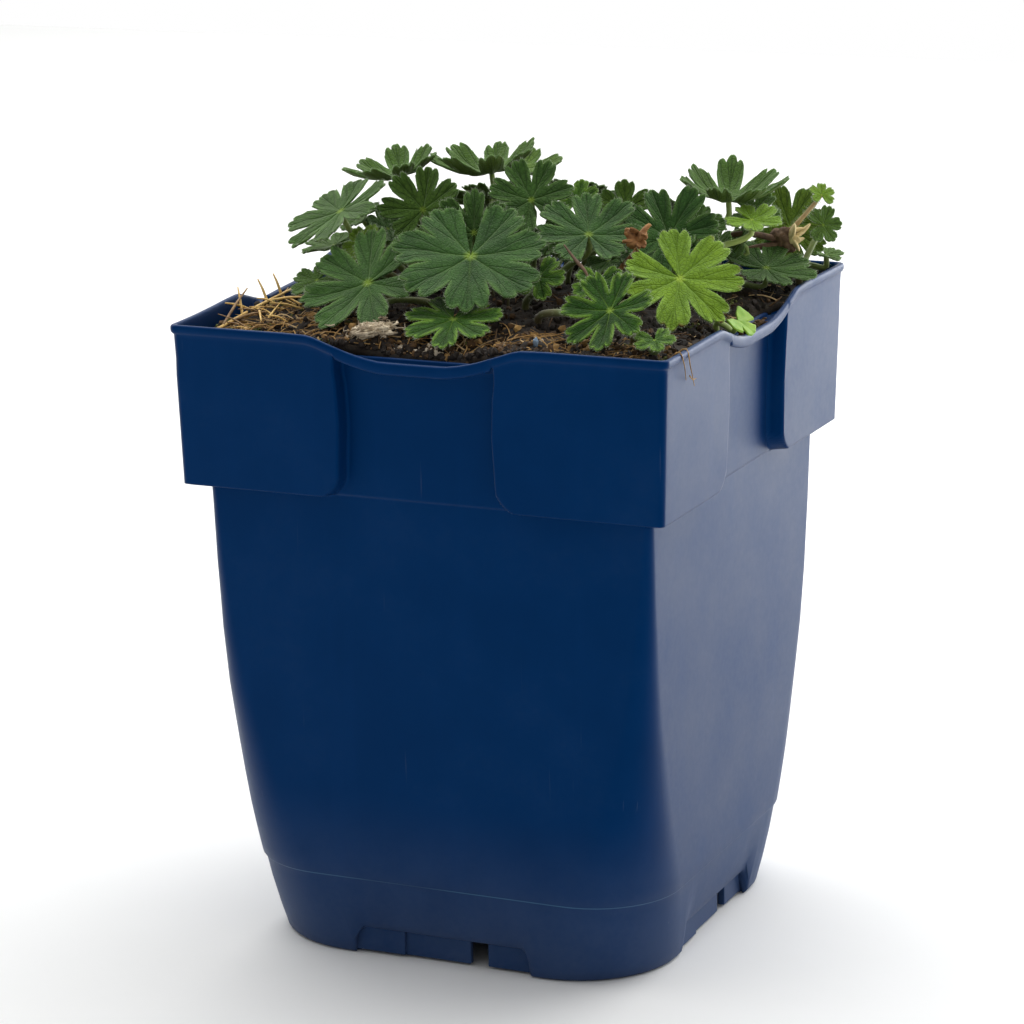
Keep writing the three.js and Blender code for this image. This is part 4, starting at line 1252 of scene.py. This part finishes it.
green_set = [leaf_green, leaf_under, stalk_green, hair_pale]
# The set with the painted shade, for leaves in the shade of others.
shaded_set = [leaf_shaded, leaf_under, stalk_green, hair_pale]
young_set = [leaf_young, young_under, stalk_young, hair_pale]
leaf_faces = 0
for number, row in enumerate(LEAVES, 1):
    leaf = as_leaf(row)
    if number == 1:                    # the broad leaf in the middle is the least cut
        leaf["cut"], leaf["gaps"] = 0.50, (0.13, 0.22)
    if number in (2, 13, 15, 16):      # leaves with lobes that stand well apart
        leaf["cut"], leaf["gaps"] = 0.36, (0.26, 0.38)
    if number == 21:                   # a dark leaf low down at the right
        leaf["tone"] = 0.1
    if number in (11, 13):
        leaf["tone"] = 0.0
    if number in (19, 36):             # light comes through the leaves at the back
        leaf["tone"] = 0.85
    piece = make_leaf(f"leaf_{number:02d}_fine", leaf, 100 + number, f"leaf_{number:02d}",
                      shaded_set if number in (15, 16, 22, 26, 27, 28) else
                      young_set if leaf["young"] else green_set,
                      number == 14)
    leaf_faces += len(piece.data.polygons)
print(len(LEAVES), "leaves,", leaf_faces, "faces")

# %% [markdown]
# ## Young leaves in the shade
# Deep inside the tuft many small leaves wait in the shade. They are hardly seen one by one, but
# without them daylight would show between the stalks. They are made as the others are, in one
# piece, with few points each.

# %% Leaves in the shade
rng = random.Random(44)
bm = bmesh.new()
for x, y in ((-21, -6), (-25, -1), (-15, 2), (-8, 0), (-2, 7), (13, 5), (8, 12), (23, 12), (29, 19),
             (36, 20), (20, 2), (-28, 9), (-29, 18), (15, 23), (1, 21), (-15, 19), (30, 30), (5, -4),
             (-6, -9), (28, 2), (34, 8), (40, 28), (-35, -3), (-33, 5), (-41, 8)):
    z = soil_height(x, y) + rng.uniform(7.5, 13.5)
    leaf = as_leaf((x, y, z, rng.uniform(-60, 70), rng.uniform(25, 65), rng.uniform(0, 360),
                    rng.uniform(5.5, 8.0), 0.12, 0.08, 5, x * 0.85, y * 0.85 + 1, 0, rng.uniform(0, 0.4)))
    blade = Blade(leaf, rng.randrange(10000))
    add_blade(bm, blade, 12, 7)
    tube(bm, stalk_path(leaf, blade), (0.7, 0.6, 0.5), 6, 12, STALK)
    scatter(bm, hair_template, edge_hairs(blade, 0.6, 0.5)[::5], HAIRS)
shade = finish_piece("leaves_in_shade", bm, green_set)
print("leaves in the shade", len(shade.data.polygons), "faces")

# %% [markdown]
# ## The dead leaf and the seedling
# A withered leaf is the same blade, curled up and turned brown, with shrivelled lobes over it.
# The seedling is a small neighbour with one smooth leaf of three lobes; its margin has no teeth,
# so its blade overrides that one rule and keeps the rest.

# %% Dead leaf
dead_brown = litter_material("leaf_withered", (0.10, 0.036, 0.012), (0.50, 0.24, 0.075), 1400.0, 0.7)
dead_under = litter_material("leaf_withered_under", (0.14, 0.065, 0.026), (0.46, 0.26, 0.11), 1400.0, 0.8)


class CurledBlade(Blade):
    """A blade that has twisted along its length and rolled its lobes in while it dried."""

    def point(self, k, across, outward):
        p = super().point(k, across, outward) - self.centre
        crumple = noise.noise(p * 0.35 + Vector((3, 1, 7)))
        p = Matrix.Rotation(0.42 * p.dot(self.x) + 0.8 * crumple, 3, self.x) @ p
        p = Matrix.Rotation(-0.16 * p.length, 3, self.y) @ p
        return self.centre + p * 0.95


dead = as_leaf((31.3, -10.8, 151.6, 10, 40, 120, 2.7, 0.75, 0.10, 5, 22, -7, 0, 0))
bm = bmesh.new()
blade = CurledBlade(dead, 71)
add_blade(bm, blade, 16, 10)
tube(bm, stalk_path(dead, blade), (0.75, 0.65, 0.5, 0.5), 8, 20, STALK)
base = blade.centre + Vector((0, -0.4, -1.2))
smooth_verts = set(bm.verts)
for bow, tip in (((-0.6, 0, 1.6), (-2.2, -0.6, 3.6)), ((1.0, 0, 1.4), (2.4, 1.0, 4.2)),
                 ((-0.4, -1.2, 0.6), (-1.6, -2.2, 1.6))):
    tube(bm, [base, base + Vector(bow), base + Vector(tip)], (0.45, 1.15, 0.8, 0.25), 10, 22)
for v in bm.verts:
    if v not in smooth_verts:          # shrivelled lobes: crumple the tubes
        v.co += 0.75 * Vector([noise.noise(v.co * 0.8 + Vector((k, 5, 2))) for k in (1, 8, 15)])
finish_piece("dead_leaf_fine", bm, [dead_brown, dead_under, dead_brown], ["dead_leaf"])


# %% [markdown]
# The seedling leans over the rim on the right. Its leaf is smooth and shinier than the hairy
# ones, so it has a green of its own.

# %% Seedling
seed_green, n, shader = new_material("seed_leaf_green", (0.20, 0.42, 0.03), Roughness=0.45,
                                     Specular_IOR_Level=0.4)
value, cloud = grain(n, 260.0, 1800.0, 0.3)
n.feed(shader.inputs["Base Color"], n.mix(n.remap(cloud, 0.35, 0.65), (0.15, 0.36, 0.012, 1),
                                          (0.33, 0.52, 0.05, 1)))
n.feed(shader.inputs["Normal"], n.bump(value, 0.4, 0.0001))


class SeedBlade(Blade):
    def margin(self, k, across):
        return 1.0 - 0.05 * across * across


seedling = as_leaf((53.6, -10.5, 136, 75, 50, 20, 4.2, 0.10, 0.05, 3, 47.5, -7, 1, 0.15))
bm = bmesh.new()
blade = SeedBlade(seedling, 72)
add_blade(bm, blade, 18, 10)
tube(bm, stalk_path(seedling, blade), (0.8, 0.7, 0.6, 0.6), 8, 20, STALK)
finish_piece("seedling_fine", bm, [seed_green, seed_green, stalk_young], ["seedling"])
print("dead leaf and seedling made")

# %% [markdown]
# ## The old shoot
# An old woody shoot ends in a knob with pale bud scales, and one small new leaf grows from it.
# The knob is three balls pushed about by noise; the scales are copies of one ball, flattened and
# bent into a little tongue.

# %% Old shoot
petiole_tan = litter_material("petiole_tan", (0.30, 0.17, 0.07), (0.55, 0.42, 0.20), 500.0, 0.7)
bark_brown = litter_material("shoot_bark", (0.045, 0.022, 0.012), (0.20, 0.12, 0.065), 900.0, 0.8)
scale_pale = litter_material("bud_scale", (0.42, 0.30, 0.10), (0.80, 0.68, 0.36), 1200.0, 0.7)
root, bend, knob = (44, 40), Vector((45, 39.6, 141.2)), Vector((46.4, 38.2, 144.8))
ground = soil_height(*root)
bm = bmesh.new()
tube(bm, [(*root, ground - 2), (*root, ground), bend, knob], (1.35, 1.15, 1.0, 1.2), 12, 24)
for place, size in ((knob, 2.5), (knob + Vector((1.6, -0.8, -1.2)), 1.6),
                    (knob + Vector((-1.4, -0.9, 0.9)), 1.4)):
    made = bmesh.ops.create_icosphere(bm, subdivisions=3, radius=size)["verts"]
    for v in made:
        v.co *= 1 + 0.28 * noise.noise(v.co * 0.9 + place)
    bmesh.ops.translate(bm, vec=place, verts=made)
tongue = bmesh.new()
bmesh.ops.create_uvsphere(tongue, u_segments=10, v_segments=8, radius=0.5)
for v in tongue.verts:
    v.co.z += 0.5
    v.co.x *= 0.75
    v.co.y = v.co.y * 0.32 + 0.5 * v.co.z * v.co.z
directions = ((1, 0.1, 0.2), (0.9, -0.4, 0.5), (1, -0.35, -0.15), (0.75, -0.1, 0.75), (0.8, -0.7, 0.1),
              (1, 0.4, -0.3))
scatter(bm, tongue, [aimed(knob + Vector(d).normalized() * 1.0, Vector(d).normalized(), 4.4 - 0.35 * i,
                           5.4 - 0.4 * i, 1.1 * i) for i, d in enumerate(directions)], 1, True)
rng = random.Random(8)
rootlets = []
for _ in range(70):
    away = Vector((rng.gauss(-0.3, 1), rng.gauss(-0.3, 1), rng.gauss(-0.3, 0.8))).normalized()
    rootlets.append(aimed(knob + away * 2.2, (away + Vector((0, 0, -0.5))).normalized(), 0.22, 1.6))
scatter(bm, hair_template, rootlets, 0)
for start, middle, end in (((45, 37, 144.8), (40, 30, 146.8), (33, 24, 145.5)),
                           ((45.5, 37, 143.5), (41, 33, 143.2), (36, 30, 141.5))):
    tube(bm, [start, middle, end], (0.75, 0.6, 0.5), 8, 16)
tube(bm, [(18.9, -20, 151.2), (21.9, -22, 149), (26.7, -26, 145.8), (27, -26, 138)],
     (0.16, 0.40, 0.22, 0.25), 8, 24)          # a dry stalk among the leaves
tongue.free()
finish_piece("old_shoot", bm, [bark_brown, scale_pale], ["woody_shoot"])

shoot_leaf = as_leaf((53.5, 42.5, 154, 40, 40, 170, 3, 0.10, 0.20, 5, 0, 0, 1, 0.2))
bm = bmesh.new()
blade = Blade(shoot_leaf, 73)
add_blade(bm, blade, 14, 8)
arm = knob.lerp(blade.centre, 0.45) + Vector((1, 0.6, 1.2))
frames = tube(bm, [knob, arm, blade.centre - blade.out * 0.3], (0.75, 0.5, 0.4), 8, 22, STALK)
scatter(bm, hair_template, edge_hairs(blade, 0.3, 0.5) + stalk_hairs(
    blade.rng, frames, 0.65, 260, 0.8), HAIRS)
finish_piece("old_shoot_leaf", bm, [leaf_young, young_under, petiole_tan, hair_pale])
print("old shoot made")

# %% [markdown]
# ## Straw and bark
# Straw lies against the left wall, some of it leaning on the rim. Each straw is a thin tube.
# A flat chip of bark lies near the front: a block, divided, pushed about by noise and layered.

# %% Straw
straw_gold = litter_material("straw_gold", (0.48, 0.27, 0.050), (0.92, 0.64, 0.22), 700.0, 0.6)
straw_dull = litter_material("straw_dull", (0.16, 0.085, 0.035), (0.46, 0.29, 0.12), 700.0, 0.7)
long_from, long_to = Vector((-47.5, -47, 134.2)), Vector((-49, -8, 136.2))
bm = bmesh.new()
tube(bm, [long_from, long_from.lerp(long_to, 0.5) + Vector((0, 0, 0.2)), long_to],
     (0.34, 0.40, 0.26), 8, 20)
for share, *tip in ((0.05, -51, -27, 139), (0.30, -52.2, -29, 139.5), (0.42, -51, -37, 137.6),
                    (0.18, -42, -36, 136.2), (0.62, -51.3, -21.5, 140), (0.80, -51.2, -14.5, 140),
                    (0.50, -38.5, -45, 136), (0.66, -36, -27, 138)):
    foot, tip = long_from.lerp(long_to, share), Vector(tip)
    sag = foot.lerp(tip, 0.5) + Vector((0, 0, 0.35))
    tube(bm, [foot, sag, tip], (0.30, 0.28, 0.15), 6, 10, 0 if share > 0.25 else 1)
rng = random.Random(12)
for _ in range(20):
    x, y = rng.uniform(-49, -34), rng.uniform(-46, -10)
    if x + y < -88:
        continue
    a, reach = rng.gauss(0.2, 0.9), rng.uniform(4, 11)
    foot = Vector((x, y, crust_height(x, y) + 0.2))
    tip = foot + Vector((-math.cos(a) * reach, -math.sin(a) * reach, rng.uniform(0.3, 2.8)))
    tip.x = max(tip.x, -49.8)
    tip.y = max(tip.y, -50.5)
    tip.z = max(tip.z, crust_height(tip.x, tip.y) + 0.25)
    tube(bm, [foot, foot.lerp(tip, 0.5) + Vector((0, 0, rng.uniform(0.1, 0.6))), tip],
         (rng.uniform(0.16, 0.30), 0.20, 0.10), 5, 6, rng.choice((0, 0, 0, 1)))
finish_piece("straw_fine", bm, [straw_gold, straw_dull], ["straw"])


# %% [markdown]
# The chip is torn bark: nine ragged layers, each a divided block pushed about by noise, and
# loose splinters over them. Building it in layers gives the frayed edge that one block lacks.

# %% Bark chip
bark_pale = litter_material("bark_pale", (0.11, 0.055, 0.022), (0.92, 0.80, 0.58), 1100.0, 0.85)
bark_x, bark_y = -12.4, -46.2
bark_place = (Matrix.Translation((bark_x, bark_y, soil_height(bark_x, bark_y) + 3.3))
              @ Matrix.Rotation(0.2, 4, "X") @ Matrix.Rotation(0.4, 4, "Z"))
rng = random.Random(5)
bm = bmesh.new()
for layer in range(9):             # torn fibrous layers, the middle ones largest
    up = (layer - 4) / 4
    slab = bmesh.new()
    bmesh.ops.create_cube(slab, size=1.0)
    bmesh.ops.subdivide_edges(slab, edges=slab.edges[:], cuts=7, use_grid_fill=True)
    long, wide = 7.4 * (1 - 0.45 * up * up), 4.2 * (1 - 0.4 * up * up)
    for v in slab.verts:
        p = v.co.copy()
        ragged = 1 + 0.5 * noise.noise(Vector((p.x * 3, p.y * 6, layer * 2.7)))
        v.co = Vector((p.x * long * ragged, p.y * wide * ragged * (1 - 0.7 * p.x * p.x), p.z * 0.34
                       + 0.5 * noise.noise(Vector((p.x * 4, p.y * 9, layer * 1.3)))))
    turn = Matrix.Rotation(rng.uniform(-0.35, 0.35), 4, "Z")
    shift = Matrix.Translation((rng.uniform(-0.4, 0.4), rng.uniform(-0.2, 0.2), up * 1.15))
    scatter(bm, slab, [bark_place @ shift @ turn], smooth=True)
    slab.free()
torn = fibre_template(1.5)
splinters = []
for _ in range(150):
    spot = Vector((rng.gauss(0, 2.4), rng.gauss(0, 1.3), rng.gauss(0.3, 0.7)))
    way = Vector((rng.gauss(0, 1), rng.gauss(0, 0.6), rng.gauss(0.3, 0.5))).normalized()
    splinters.append(bark_place @ aimed(spot, way, rng.uniform(0.18, 0.42), rng.uniform(1.0, 3.2)))
scatter(bm, torn, splinters)
torn.free()
finish_piece("bark_chip_fine", bm, [bark_pale], ["bark_chip"])
print("straw and bark made")

# %% [markdown]
# ## Floor, light and camera
# The plant stands on a pale floor, mostly lit by a large soft light above and behind it. The room
# is light behind the plant and darker in front, so the near side of the pot keeps its deep blue
# and the side wall, seen at a shallow angle, mirrors the bright room.

# %% Floor
floor_white, n, shader = new_material("floor_pale", (0.88, 0.88, 0.87), Roughness=0.75)
n.feed(shader.inputs["Base Color"], n.mix(n.noise(60.0), (0.87, 0.875, 0.865, 1), (0.89, 0.893, 0.885, 1)))
bm = bmesh.new()
bmesh.ops.create_grid(bm, x_segments=1, y_segments=1, size=1.5)
floor = mesh_in_scene("floor", bm, [floor_white])


# %% [markdown]
# The light is plain and soft, as in a small studio: a bright room all round, a wide panel
# overhead that draws soft shadows, a card behind on the right that the side wall mirrors, and a
# small panel that brightens the floor behind the pot.

# %% Light
def soft_light(name, place, aim, size, watts):
    data = bpy.data.lights.new(name, "AREA")
    data.shape, data.size, data.size_y = "RECTANGLE", *size
    data.energy = watts
    light = in_scene(name, data)
    light.location = place
    light.rotation_euler = (Vector(aim) - Vector(place)).to_track_quat("-Z", "Y").to_euler()


soft_light("overhead", (-0.1, 0.75, 1.25), (0, 0.6, 0), (2.6, 2.0), 24)
soft_light("side_card", (0.42, 0.98, 0.13), (0, 0, 0.07), (0.8, 0.5), 6)
soft_light("floor_glow", (0.30, 0.52, 0.24), (0.28, 0.50, 0), (0.3, 0.3), 1.0)

world = bpy.data.worlds.new("studio")
bpy.context.scene.world = world
world.use_nodes = True
w = Nodes(world.node_tree)
backward = w.axis(w.add("ShaderNodeTexCoord").outputs["Generated"], 1)
glow = w.remap(backward, -0.4, 0.6, 0.45, 1.08, smooth=True)
background = world.node_tree.nodes["Background"]
w.feed(background.inputs["Color"], w.mix(glow, (0.0, 0.0, 0.0, 1), (1.0, 1.0, 1.0, 1)))
background.inputs["Strength"].default_value = 1.0
bpy.context.scene.view_settings.view_transform = "Standard"

# %% [markdown]
# The camera stands above the rim, turned to the left, and looks down at the pot from
# far enough away that its upright edges stay almost parallel.

# %% Camera
YAW, PITCH, ROLL = -0.4113, -0.244, -0.012          # radians: to the left, down, tilt
PLACE = (0.301849, -0.697022, 0.277444)
SENSOR, FOCAL = 36.0, 3614.93 / 1024                # film width, focal length in film widths
forward = Vector((math.sin(YAW) * math.cos(PITCH), math.cos(YAW) * math.cos(PITCH), math.sin(PITCH)))
right = forward.cross(Vector((0, 0, 1))).normalized()
up = right.cross(forward)
across = right * math.cos(ROLL) + up * math.sin(ROLL)
upward = up * math.cos(ROLL) - right * math.sin(ROLL)
data = bpy.data.cameras.new("camera")
data.sensor_width, data.lens = SENSOR, SENSOR * FOCAL
camera = in_scene("camera", data)
camera.matrix_world = Matrix([(across[i], upward[i], -forward[i], PLACE[i]) for i in range(3)]
                             + [(0, 0, 0, 1)])
bpy.context.scene.camera = camera
